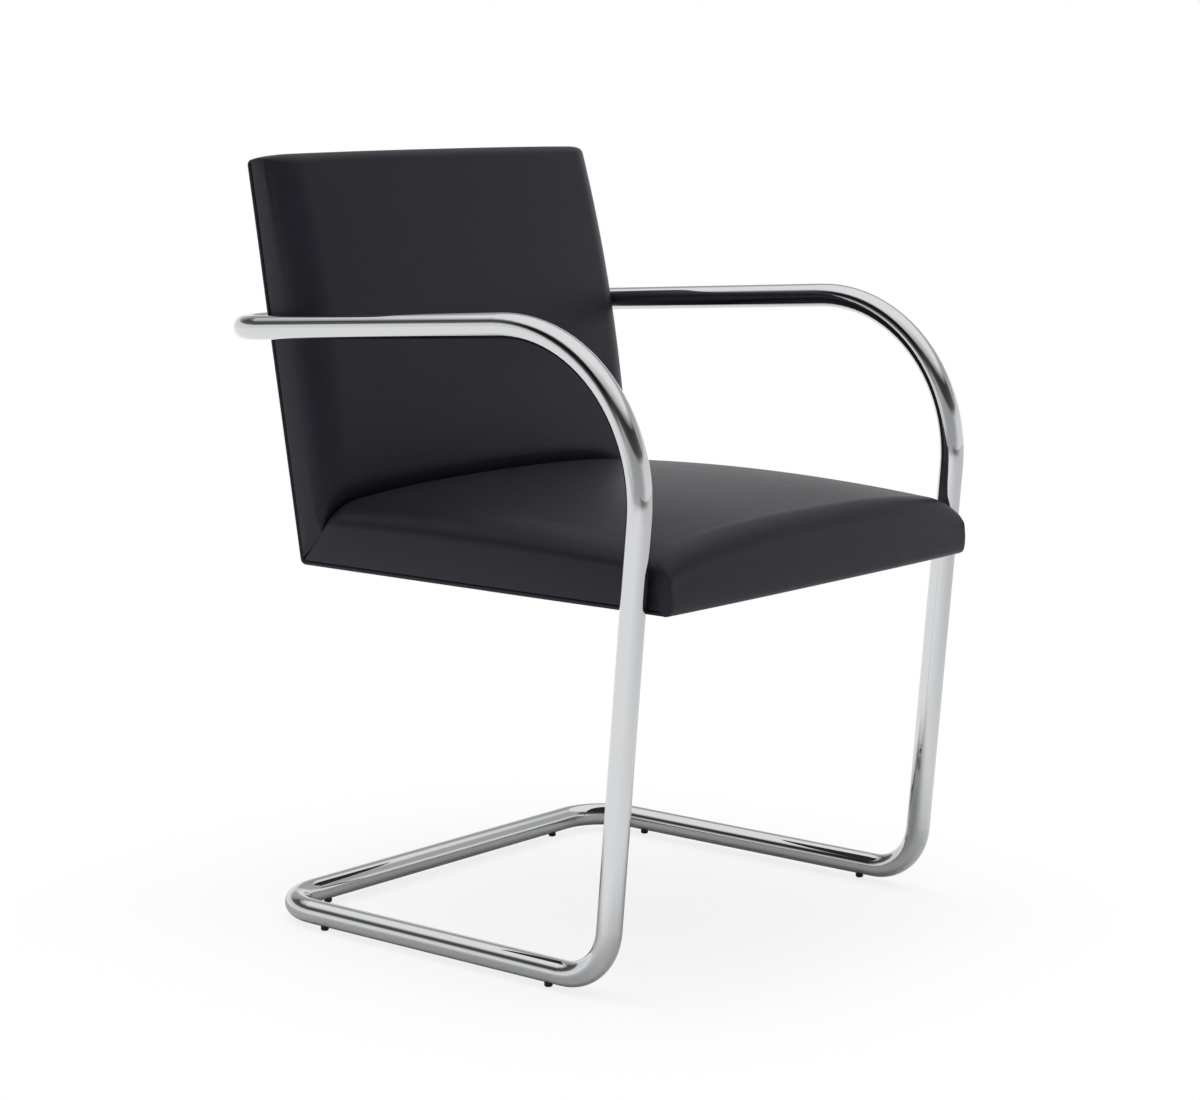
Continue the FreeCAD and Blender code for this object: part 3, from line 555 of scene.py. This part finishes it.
def gash(x, share, depth):
    """How far the mitre has opened at a share of its length. Its end opens by depth."""
    outer = max(0.0, (abs(x) - HALF_WIDTH + GASH_WIDTH) / GASH_WIDTH)
    opened = max(0.0, (share - GASH_START) / (1 - GASH_START))
    return depth * outer * opened ** GASH_POWER


def side_rings(loop, sign, bulge, spine):
    """Rings over the flat side of a cushion, from its outline in to a line along its middle."""
    start, end = (np.array(point[1:]) for point in spine)
    way = end - start
    along_spine = np.clip((loop[:, 1:] - start) @ way / (way @ way), 0, 1)
    middle = start + along_spine[:, None] * way
    rings = []
    for share in RING_SHARES:
        ring = loop.copy()
        ring[:, 1:] = loop[:, 1:] * (1 - share) + middle * share
        ring[:, 0] += sign * bulge * (1 - (1 - share) ** 2)
        rings.append(ring)
    return rings


def cushion(name, places, outline, bulge, spine):
    """Lofts outline(x) across the width and closes both sides."""
    loops = [outline(x) for x in places]
    left = side_rings(loops[0], -1, bulge, spine)
    right = side_rings(loops[-1], 1, bulge, spine)
    piece = loft(name, left[::-1] + loops + right, "black_leather")
    piece.data.set_sharp_from_angle(angle=SHARP_ANGLE)
    return piece


# %% [markdown]
# ## The seat
#
# The seat is highest near its middle, and rolls over a soft nose into an upright front face. The
# nose is tighter at the corners than in the middle. Below it the seat reaches a few millimetres
# lower than elsewhere, and hides the edge of the cloth. Behind, the seat rolls down into the
# crease, and goes on along the mitre to the lower rear corner, where the sitter never sees it.

# %% Seat
SEAT_EDGE = 36.0
SEAT_EDGE_FALL = 0.68
SEAT_CROWN = 19.0
SEAT_TOP_Y = -40.0
SEAT_TOP_Z = 466.0
NOSE_ROUNDING = 31.0
NOSE_TIGHTER = 0.62
NOSE_SETBACK = 3.5
NOSE_TUCK = 0.8
NOSE_MIDDLE = 0.32
NOSE_TOP_Z = 455.0
NOSE_TOP_PULL = 0.68
NOSE_FLOOR_REACH = 13.0
NOSE_FOOT = ((11.5, 381.5), (9.8, 379.9), (7.5, 379.3), (3.2, 381.2), (1.0, 385.0))
REAR_ROLL_DEPTH = 26.0
REAR_ROLL_Z = 458.0
REAR_ROLL_CROWN = 0.72
REAR_ROLL_PULL = 0.88
SEAT_GASH = 0.4
SEAT_BULGE = 1.1
SEAT_SPINE = ((0, NOSE_Y + 22, 402.0), (0, CREASE_Y - 10, 402.0))


def seat_outline(x):
    """The seat's outline at x, from its lower rear corner forwards and round over the top."""
    pull = edge_pull(x, SEAT_EDGE) * SEAT_EDGE_FALL
    turned = pull / (SEAT_EDGE * SEAT_EDGE_FALL)
    tuck = tuck_at(x)
    crowned = crown(x, SEAT_CROWN)
    fall = crowned + pull

    nose = NOSE_Y + NOSE_SETBACK * crowned / SEAT_CROWN + tuck * NOSE_TUCK
    rounding = NOSE_ROUNDING * (1 - NOSE_TIGHTER * turned)
    top_z = NOSE_TOP_Z - crowned - pull * NOSE_TOP_PULL
    top_front = (nose + rounding, top_z)
    nose_corner = (nose + rounding * NOSE_MIDDLE, top_z - rounding * QUARTER_MIDDLE)
    face_top = (nose + rounding * 0.08, top_z - rounding * 0.95)
    foot_rear, foot_turn, foot_low, foot_front, face_low = [(nose + y, z) for y, z in NOSE_FOOT]
    face_middle = (nose, (face_top[1] + face_low[1]) / 2)

    crease_z = crease_height(x)
    crown_top = (SEAT_TOP_Y, SEAT_TOP_Z - fall)
    crease = (CREASE_Y - CREASE_GAP - tuck * 0.25, crease_z)
    rear_z = REAR_ROLL_Z - crowned * REAR_ROLL_CROWN - pull * REAR_ROLL_PULL
    rear_top = (CREASE_Y - REAR_ROLL_DEPTH, rear_z)
    rear_round = (CREASE_Y - 9, (rear_z + crease_z) / 2 + 2)

    floor_z = BODY_FLOOR + tuck * 0.15
    nose_floor = (nose + NOSE_FLOOR_REACH, floor_z)
    slope = (BACK_CORNER_Y - CREASE_Y) / (crease_z - SEAT_BOTTOM)
    rear_low = (crease[0] + (crease_z - floor_z) * slope - tuck * 0.3, floor_z)
    mitre = line(crease, rear_low, MITRE_COUNT)
    for k in range(MITRE_COUNT):
        mitre[k, 0] -= gash(x, k / MITRE_COUNT, SEAT_GASH)
    parts = [
        line((rear_low[0] - gash(x, 1.0, SEAT_GASH), floor_z), nose_floor, 26),
        line(nose_floor, foot_rear, 2),
        arc(foot_rear, foot_turn, foot_low, 4),
        arc(foot_low, foot_front, face_low, 7),
        arc(face_low, face_middle, face_top, 12),
        arc(face_top, nose_corner, top_front, 16),
        arc(top_front, crown_top, rear_top, 52),
        arc(rear_top, rear_round, crease, 12),
        mitre,
    ]
    plane = np.concatenate(parts)
    return np.column_stack([np.full(len(plane), x), plane])


seat = cushion("seat_cushion", places_across(SEAT_EDGE), seat_outline, SEAT_BULGE, SEAT_SPINE)
print("seat vertices:", len(seat.data.vertices))

# %% [markdown]
# ## The back
#
# The back is the same kind of box, leaning, thinner at the top than in the middle. Its side edges
# turn in nearly as wide a curve as the seat's, so that the light changes slowly from its front to
# its side. Its top edge is crisper. The groove beside the piping gets deeper towards the top.

# %% Back
BACK_EDGE = 32.0
BACK_EDGE_FALL = 0.68
BACK_CROWN = 7.0
BACK_FULL_FALL = 29.0
BACK_TOP_ROUNDING = 14.0
BACK_TOP_TIGHTER = 0.75
BACK_TOP_ROLL = 3.2
BACK_REAR_T = 5.3
BACK_UPPER_T = 55.0
BACK_FULLEST_T = 68.0
BACK_FOOT_T = 58.0
BACK_FOOT_RISE = 22.0
BACK_FOOT_TURN = 7.7
BACK_GASH = 2.4
BACK_BULGE = 1.4
BACK_SPINE = (on_back(0, 62, 30.0), on_back(0, BACK_HEIGHT - 26, 26.0))


def back_outline(x):
    """The back's outline at x, from its lower rear corner up and round over the top."""
    pull = edge_pull(x, BACK_EDGE) * BACK_EDGE_FALL
    turned = pull / (BACK_EDGE * BACK_EDGE_FALL)
    tuck = tuck_at(x)
    fall = crown(x, BACK_CROWN) + pull

    top = BACK_HEIGHT - TOP_DROP * fall / BACK_FULL_FALL
    upper_t = BACK_UPPER_T - fall
    rounding = BACK_TOP_ROUNDING * (1 - BACK_TOP_TIGHTER * turned)
    upper = (top - BACK_TOP_ROLL - rounding, upper_t)
    top_front = (top - BACK_TOP_ROLL, upper_t - rounding)
    inside = rounding * QUARTER_MIDDLE
    top_corner = (top_front[0] - inside, upper_t - inside)
    top_rear = (top - 2.0 - tuck * 0.5, BACK_REAR_T + tuck * 1.6)
    top_middle = (top - 1.4, (top_rear[1] + upper_t - rounding) / 2)

    crease_y = CREASE_Y + CREASE_GAP + tuck * 0.25
    crease_s, crease_t = crease = back_place(crease_y, crease_height(x))
    foot = (crease_s + BACK_FOOT_RISE, BACK_FOOT_T - fall * 0.75)
    fullest = ((upper[0] + foot[0]) / 2, BACK_FULLEST_T - fall)
    foot_turn = (crease_s + BACK_FOOT_TURN, (foot[1] + crease_t) / 2)

    rear_t = BACK_REAR_T + tuck * 0.5
    low_s = rear_t * crease_s / crease_t + tuck * 0.4
    mitre = line(crease, (low_s, rear_t), MITRE_COUNT)
    for k in range(MITRE_COUNT):
        mitre[k, 0] += gash(x, k / MITRE_COUNT, BACK_GASH)
    parts = [
        line((low_s + gash(x, 1.0, BACK_GASH), rear_t), top_rear, 46),
        arc(top_rear, top_middle, top_front, 16),
        arc(top_front, top_corner, upper, 14),
        arc(upper, fullest, foot, 46),
        arc(foot, foot_turn, crease, 12),
        mitre,
    ]
    return np.array([on_back(x, s, t) for s, t in np.concatenate(parts)])


back = cushion("back_cushion", places_across(BACK_EDGE), back_outline, BACK_BULGE, BACK_SPINE)
print("back vertices:", len(back.data.vertices))

# %% [markdown]
# ## Piping
#
# Piping is a cord wrapped in a strip of leather and sewn into a seam. One length runs along each
# side under the seat, turns up at the corner and follows the rear edge of the back. A third runs
# along the top. A curve with a bevel would do, but sweeping a ring along the path by hand lets its
# thickness vary a little, as sewn leather does, and lets a thin ridge run out at its ends.

# %% Rounded paths and swept leather
PATH_STEP = 4.0
BEND_COUNT = 8
WOBBLE_SPAN = 13
ANY_SIDE = (0.3, 0.5, 0.8)  # starts the first ring; no path runs this way


def rounded(points, radii):
    """Points along straight runs with a true arc at each inner corner."""
    points = [np.array(p, float) for p in points]
    made = [points[0]]
    for before, corner, after, radius in zip(points, points[1:], points[2:], radii):
        back_way = (before - corner) / np.linalg.norm(before - corner)
        ahead = (after - corner) / np.linalg.norm(after - corner)
        half = np.arccos(np.dot(back_way, ahead)) / 2
        middle = (back_way + ahead) / np.linalg.norm(back_way + ahead)
        centre = corner + middle * radius / sin(half)
        start = corner + back_way * radius / tan(half)
        end = corner + ahead * radius / tan(half)
        for k in range(BEND_COUNT + 1):
            spoke = start * (1 - k / BEND_COUNT) + end * (k / BEND_COUNT) - centre
            made.append(centre + spoke / np.linalg.norm(spoke) * radius)
    made.append(points[-1])
    fine = [made[0]]
    for point in made[1:]:
        last = fine[-1]
        count = max(1, int(np.linalg.norm(point - last) / PATH_STEP))
        fine += [last + (point - last) * k / count for k in range(1, count + 1)]
    return np.array(fine)


def swept(name, path, radius, vary, sides=16, taper=0):
    """A leather tube along the path. Its ends are cut off square, or run out over taper points."""
    rng = np.random.default_rng(7)
    draws = rng.normal(size=len(path) + WOBBLE_SPAN - 1)
    wobble = np.convolve(draws, np.ones(WOBBLE_SPAN) / WOBBLE_SPAN, "valid")
    tangent = np.gradient(path, axis=0)
    tangent /= np.linalg.norm(tangent, axis=1)[:, None]
    side = np.cross(tangent[0], ANY_SIDE)
    loops = []
    for k, (centre, ahead, change) in enumerate(zip(path, tangent, wobble)):
        from_end = min(k, len(path) - 1 - k)
        run_out = sqrt(min(1.0, (from_end + 0.1) / taper)) if taper else 1.0
        size = radius * (1 + vary * change) * run_out
        side = side - ahead * np.dot(side, ahead)
        side = side / np.linalg.norm(side)
        other = np.cross(ahead, side)
        turns = [2 * pi * turn / sides for turn in range(sides)]
        loops.append([centre + (side * cos(a) + other * sin(a)) * size for a in turns])
    return loft(name, loops, "black_leather")


# %% Piping on the sides and along the top
PIPING_RADIUS = PIPING / 2
PIPING_VARIES = 0.08
PIPING_SETBACK = 6.5
TOP_PIPING_S = BACK_HEIGHT - TOP_DROP - PIPING_RADIUS
SIDE_PIPING_STOP = 4.6
TOP_PIPING_TURN = 4.5
SIDE_BEND = 4.5
TOP_BEND = 4.4


def side_piping_path(sign):
    x = sign * (HALF_WIDTH - PIPING_RADIUS)
    corner_s = PIPING_RADIUS * (1 - sin(LEAN)) / cos(LEAN)
    front = (x, NOSE_Y + PIPING_SETBACK + PIPING, SEAT_BOTTOM + PIPING_RADIUS)
    top = on_back(x, TOP_PIPING_S - SIDE_PIPING_STOP, PIPING_RADIUS)
    return rounded([front, on_back(x, corner_s, PIPING_RADIUS), top], [SIDE_BEND])


def top_piping_path():
    x = HALF_WIDTH - PIPING_RADIUS
    high = TOP_PIPING_S
    low = high - TOP_PIPING_TURN
    ends = [(-x, low), (-x, high), (x, high), (x, low)]
    return rounded([on_back(px, s, PIPING_RADIUS) for px, s in ends], [TOP_BEND, TOP_BEND])


piping_paths = {
    "left": side_piping_path(1),
    "right": side_piping_path(-1),
    "top": top_piping_path(),
}
piping = {
    "piping_" + where: swept("piping_seam_" + where, path, PIPING_RADIUS, PIPING_VARIES)
    for where, path in piping_paths.items()
}
print("piping:", ", ".join(piping))

# %% [markdown]
# ## Corner seams
#
# At the two front corners the side panel is sewn to the front. The seam stands up as a fine ridge
# that catches the light, and runs out above and below. It follows the cushion's own outline, so
# it is read from the same function that made the seat: its points from the foot of the front face
# to the upper part of the nose.

# %% Seams on the front corners
SEAM_POINTS = slice(34, 62)
SEAM_RADIUS = 1.0
SEAM_VARIES = 0.1
SEAM_SIDES = 10
SEAM_TAPER = 8


def corner_seam(name, sign):
    run = seat_outline(sign * HALF_WIDTH)[SEAM_POINTS]
    run[:, 0] = sign * (HALF_WIDTH - 0.4)
    run[:, 1] -= 0.5
    return swept(name, run, SEAM_RADIUS, SEAM_VARIES, SEAM_SIDES, SEAM_TAPER)


seams = [corner_seam("corner_seam_left", 1), corner_seam("corner_seam_right", -1)]

# %% [markdown]
# ## The outer back
#
# A thin padded board wrapped in leather closes the back. Its edges are rolled, its face is
# slightly full, and the leather dips where the two posts press on it.

# %% Leather panel behind the back
POST_X = 140.0
POST_S = 262.0
DIP_DEPTH = 1.5
DIP_FLAT = 10
DIP_FADE = 14
PANEL_HALF_WIDTH = 247.0
PANEL_LOW_S = 5.3
PANEL_HIGH_S = 418.2
PANEL_FRONT_T = 5.0
PANEL_FULLNESS = 2.6
PANEL_FULL_FROM = 30
PANEL_EDGE = 1.2
PANEL_ROLL = 1.6
PANEL_ROLL_WIDTH = 2.5
PANEL_COUNT = 60
PANEL_FRONT_COUNT = 20
PANEL_ROLLED_ENDS = ((-246.7, 2.0), (-246.3, 1.0), (-245.4, 0.35))


def post_dip(x, s):
    """How deep a post has pressed the leather in."""
    away = sqrt((abs(x) - POST_X) ** 2 + (s - POST_S) ** 2)
    return DIP_DEPTH * max(0.0, 1 - max(0.0, away - DIP_FLAT) / DIP_FADE) ** 2


def panel_outline(x, inset):
    """The panel's outline at x. inset draws it in on all sides, for its rolled ends."""
    low = PANEL_LOW_S + inset
    high = PANEL_HIGH_S - inset
    rear = 1.0 + inset
    points = [(low, PANEL_FRONT_T), (low, rear + PANEL_EDGE)]
    for k in range(PANEL_COUNT + 1):
        s = low + (high - low) * k / PANEL_COUNT
        border = min(s - low, high - s, PANEL_HALF_WIDTH - abs(x))
        roll = PANEL_ROLL * max(0.0, 1 - border / PANEL_ROLL_WIDTH) ** 2
        across = 1 - (x / PANEL_HALF_WIDTH) ** 2
        full = PANEL_FULLNESS * across * min(1.0, border / PANEL_FULL_FROM)
        points.append((s, rear - full + roll + post_dip(x, s)))
    points += [(high, rear + PANEL_EDGE), (high, PANEL_FRONT_T)]
    for k in range(1, PANEL_FRONT_COUNT):
        points.append((high + (low - high) * k / PANEL_FRONT_COUNT, PANEL_FRONT_T))
    return np.array([on_back(x, s, t) for s, t in points])


left_end = list(PANEL_ROLLED_ENDS)
right_end = [(-x, inset) for x, inset in reversed(PANEL_ROLLED_ENDS)]
panel_places = left_end + [(-244 + 4 * k, 0.0) for k in range(123)] + right_end
panel_loops = [panel_outline(x, inset) for x, inset in panel_places]
panel = loft("back_panel_leather", panel_loops, "black_leather")
print("panel vertices:", len(panel.data.vertices))

# %% [markdown]
# ## The cloth under the seat
#
# A thin black cloth closes the seat from below and keeps dust out of the webbing. Its border turns
# up against the seat, and eight screws hold it. Each screw presses a dimple and draws the cloth
# towards itself, so faint folds run out from it and die away towards the middle.

# %% Dust cloth
CLOTH_HALF_WIDTH = 246.7
CLOTH_FRONT = -292.4
CLOTH_REAR = 184.6
CLOTH_LOW = 379.5
CLOTH_THICKNESS = 0.5
CLOTH_STEP = 5.0
TURN_UP = 3.0
TURN_PLACES = (0.0, 0.1, 0.4, 0.9, 1.6, 2.3, 3.0)
CLOTH_SCREWS = [(sign * 234.7, y) for sign in (-1, 1) for y in (-240.0, -75.0, 90.0)]
CLOTH_SCREWS += [(0.0, -282.9), (0.0, 115.0)]
DIMPLE_DEPTH = 0.7
DIMPLE_RADIUS = 8.0
FOLD_HEIGHT = 0.22
FOLD_COUNT = 9
FOLD_START = 12.0
FOLD_REACH = 55.0


def cloth_low(x, y):
    """The height of the cloth's lower face."""
    border = min(CLOTH_HALF_WIDTH - abs(x), y - CLOTH_FRONT, CLOTH_REAR - y)
    share = max(0.0, 1 - border / TURN_UP)
    z = CLOTH_LOW + TURN_UP * (1 - sqrt(1 - share * share))
    for screw_x, screw_y in CLOTH_SCREWS:
        away = np.hypot(x - screw_x, y - screw_y)
        angle = np.arctan2(y - screw_y, x - screw_x)
        strength = (1 - np.exp(-away / FOLD_START)) * np.exp(-away / FOLD_REACH)
        z += DIMPLE_DEPTH * np.exp(-(away / DIMPLE_RADIUS) ** 2)
        z += FOLD_HEIGHT * cos(FOLD_COUNT * angle) * strength
    return z


def cloth_steps(low, high):
    """Places from low to high, close together where the border turns up."""
    flat = high - low - 2 * TURN_UP
    count = round(flat / CLOTH_STEP)
    inside = [low + TURN_UP + flat * k / count for k in range(1, count)]
    return [low + t for t in TURN_PLACES] + inside + [high - t for t in reversed(TURN_PLACES)]


def cloth_outline(x):
    below = [(x, y, cloth_low(x, y)) for y in cloth_steps(CLOTH_FRONT, CLOTH_REAR)]
    above = [(x, y, z + CLOTH_THICKNESS) for x, y, z in reversed(below)]
    return below + above


cloth_loops = [cloth_outline(x) for x in cloth_steps(-CLOTH_HALF_WIDTH, CLOTH_HALF_WIDTH)]
cloth = loft("dust_cloth", cloth_loops, "dust_cover")
cloth.data.set_sharp_from_angle(angle=SHARP_ANGLE)
print("cloth vertices:", len(cloth.data.vertices))

# %% [markdown]
# ## Which piece stands for which
#
# Each modelled piece takes the place of the plain solids that it stands for. The solids stay in
# the physics model. The corner seams are extra, so they replace nothing. The chair has no joints,
# so everything rides on the one body.

# %% Ride and replace
stands_for = [
    (seat, ["seat_cover", "seat_foam"]),
    (back, ["back_cover", "back_foam"]),
    (panel, ["outer_back_panel"]),
]
stands_for += [(piece, [node]) for node, piece in piping.items()]
stands_for += [(piece, []) for piece in seams]
for piece, replaced in stands_for:
    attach(piece, "root")
    if replaced:
        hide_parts(*replaced)
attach(cloth, "root")
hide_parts("underside_panel")
print("pieces:", [piece.name for piece, replaced in stands_for] + [cloth.name])

# %% [markdown]
# ## Floor
#
# The chair stands on white with a faint shadow. White paint alone would need strong light to reach
# pure white, and would throw that light back under the chair. So close to the chair the floor is
# a pale grey that the camera sees with a white glow laid over it: the glow hides most of the grey
# and leaves a share of the shadow. Further out the floor glows by itself, like a lit studio sweep,
# and the camera sees it pure white. The polished tube and the leather see it fall off: it is
# dimmer around and behind the photographer, and a little dimmer to the right.

# %% Floor
FLOOR_SIZE = 14.0
NEAR_GREY = 0.8
VEILED_GREY = 0.25
CHAIR_HALF_WIDTH = 0.28
CHAIR_HALF_DEPTH = 0.30
SWEEP_WIDTH = 0.35
DIM_TOWARDS = (-0.77, -0.63, 0.1)
DIM_BY = 0.5
DIM_SPREAD = (0.0, 0.9)
DIM_DISTANCES = (2.8, 5.0)
RIGHT_TOWARDS = (0.63, -0.77, 0.0)
RIGHT_DISTANCES = (-0.5, 2.0)
DARKER_RIGHT_BY = 0.28
WHITE = (1, 1, 1, 1)


def emptied(block):
    """Clears the nodes of a material or world, and gives a wire to build with."""
    block.use_nodes = True
    block.node_tree.nodes.clear()
    return Wire(block.node_tree)


def end_with(kind, surface):
    """Ends the node tree of a material or world with its output node."""
    end = surface.tree.nodes.new("ShaderNodeOutput" + kind)
    surface.tree.links.new(surface.socket, end.inputs["Surface"])


def parts_of(vector):
    """The x, y and z of a vector wire."""
    split = vector.tree.nodes.new("ShaderNodeSeparateXYZ")
    vector.tree.links.new(vector.socket, split.inputs[0])
    return [Wire(vector.tree, output) for output in split.outputs]


def facing(direction, towards):
    """The dot product of a wire's vector and a fixed one."""
    settings = {"operation": "DOT_PRODUCT"}
    return direction.node("VectorMath", settings, {0: direction, 1: towards}, output=1)


def beyond(value, half):
    """How far a coordinate lies outside -half to half."""
    return (value.size() - half).larger(0.0)


def floor_finish():
    material = bpy.data.materials.new("floor")
    material.cycles.emission_sampling = "NONE"
    wire = emptied(material)
    place = wire.node("TexCoord", output=3)
    x, y = parts_of(place)[:2]
    seen = wire.node("LightPath", output=0)
    paint = wire.node("BsdfDiffuse", {}, {"Color": NEAR_GREY - seen * (NEAR_GREY - VEILED_GREY)})
    glow = seen * (1 - VEILED_GREY * NEAR_GREY)
    veil = wire.node("Emission", {}, {"Color": WHITE, "Strength": glow})
    near = wire.node("AddShader", {}, {0: paint, 1: veil})
    distance = wire.node("VectorMath", {"operation": "LENGTH"}, {0: place}, output=1)
    behind = (facing(place, DIM_TOWARDS) / distance).between(*DIM_SPREAD)
    dim = behind * distance.between(*DIM_DISTANCES) * DIM_BY
    right = facing(place, RIGHT_TOWARDS).between(*RIGHT_DISTANCES) * DARKER_RIGHT_BY
    level = (1.0 - dim - right) * (1 - seen) + seen
    sweep = wire.node("Emission", {}, {"Color": WHITE, "Strength": level})
    outside = (beyond(x, CHAIR_HALF_WIDTH) ** 2 + beyond(y, CHAIR_HALF_DEPTH) ** 2) ** 0.5
    far = outside.between(0.0, SWEEP_WIDTH)
    end_with("Material", wire.node("MixShader", {}, {0: far, 1: near, 2: sweep}))
    return material


edge = FLOOR_SIZE / 2
floor_corners = [(-edge, -edge, 0), (edge, -edge, 0), (edge, edge, 0), (-edge, edge, 0)]
floor_mesh = bpy.data.meshes.new("floor")
floor_mesh.from_pydata(floor_corners, [], [(0, 1, 2, 3)])
floor_mesh.materials.append(floor_finish())
floor = add_object("floor", floor_mesh)

# %% [markdown]
# ## Light
#
# A pale room surrounds the chair. To the camera it is plain white. To everything else it is a
# studio: light at the horizon, then a dark gap, then a bright ceiling. The gap draws the dark
# lines along the polished tube, and a black patch in it strengthens the line on the near arm's
# bend.
#
# - The far side is a white wall that gets dimmer with height. The seat's top shines with it.
# - The side where the photographer stands is dim. It turns each rounded leather edge that faces
#   the camera into a soft dark band.
# - To the right a grey patch covers the gap, because the gap would draw a dark band on the
#   rounded nose of the seat.
#
# A weak lamp overhead, which no reflection shows, lifts the level until a colour renders about as
# it is written. Heights are the z of a direction. Each spread says at which cosines from its own
# direction a patch starts and is full.

# %% World
ROOM_LEVELS = (
    (0.0, 0.85), (0.25, 0.78), (0.33, 0.14), (0.55, 0.07), (0.61, 0.4), (0.7, 0.95), (1.0, 1.0),
)
CEILING_GAIN = 1.06
ROOM_DIM_SPREAD = (0.35, 0.95)
PATCH_TOWARDS = (-0.853, 0.301, 0.422)
PATCH_SPREAD = (0.89, 0.97)
PATCH_DARKER_BY = 0.9
WALL_TOWARDS = (0.77, 0.63, 0.0)
WALL_SPREAD = (0.5, 0.85)
WALL_LEVEL = 0.95
WALL_FALL = 0.5
WALL_HEIGHTS = (0.04, 0.34)
NOSE_TOWARDS = (0.9, -0.27, 0.34)
NOSE_SPREAD = (0.6, 0.85)
NOSE_LEVEL = 0.5


def world_light():
    world = bpy.data.worlds.new("studio")
    wire = emptied(world)
    direction = wire.node("TexCoord", output=0)
    height = parts_of(direction)[2]
    room = wire.node("ValToRGB", {"stops": ROOM_LEVELS}, {0: height})
    patch = facing(direction, PATCH_TOWARDS).between(*PATCH_SPREAD) * PATCH_DARKER_BY
    behind = facing(direction, DIM_TOWARDS).between(*ROOM_DIM_SPREAD) * DIM_BY
    lit = room * CEILING_GAIN * (1 - behind) * (1 - patch)
    wall_level = WALL_LEVEL - height.between(*WALL_HEIGHTS) * WALL_FALL
    wall = facing(direction, WALL_TOWARDS).between(*WALL_SPREAD) * wall_level
    side = facing(direction, NOSE_TOWARDS).between(*NOSE_SPREAD) * NOSE_LEVEL
    studio = lit.larger(wall.larger(side))
    seen = wire.node("LightPath", output=0)
    level = studio * (1 - seen) + seen
    end_with("World", wire.node("Background", {}, {"Color": WHITE, "Strength": level}))
    bpy.context.scene.world = world


world_light()

# %% Overhead lamp
LAMP_WIDTH = 2.4
LAMP_POWER = 16
LAMP_PLACE = (0, 0, 3)

lamp_data = bpy.data.lights.new("overhead_softbox", "AREA")
lamp_data.shape = "DISK"
lamp_data.size = LAMP_WIDTH
lamp_data.energy = LAMP_POWER
lamp = add_object("overhead_softbox", lamp_data)
lamp.location = LAMP_PLACE
lamp.visible_glossy = False
print("lamp:", lamp.name, lamp_data.energy, "W")

# %% [markdown]
# ## Finish
#
# The view transform is Standard, so a colour in a finish is the colour in the picture.

# %% Hand over
bpy.context.scene.view_settings.view_transform = "Standard"
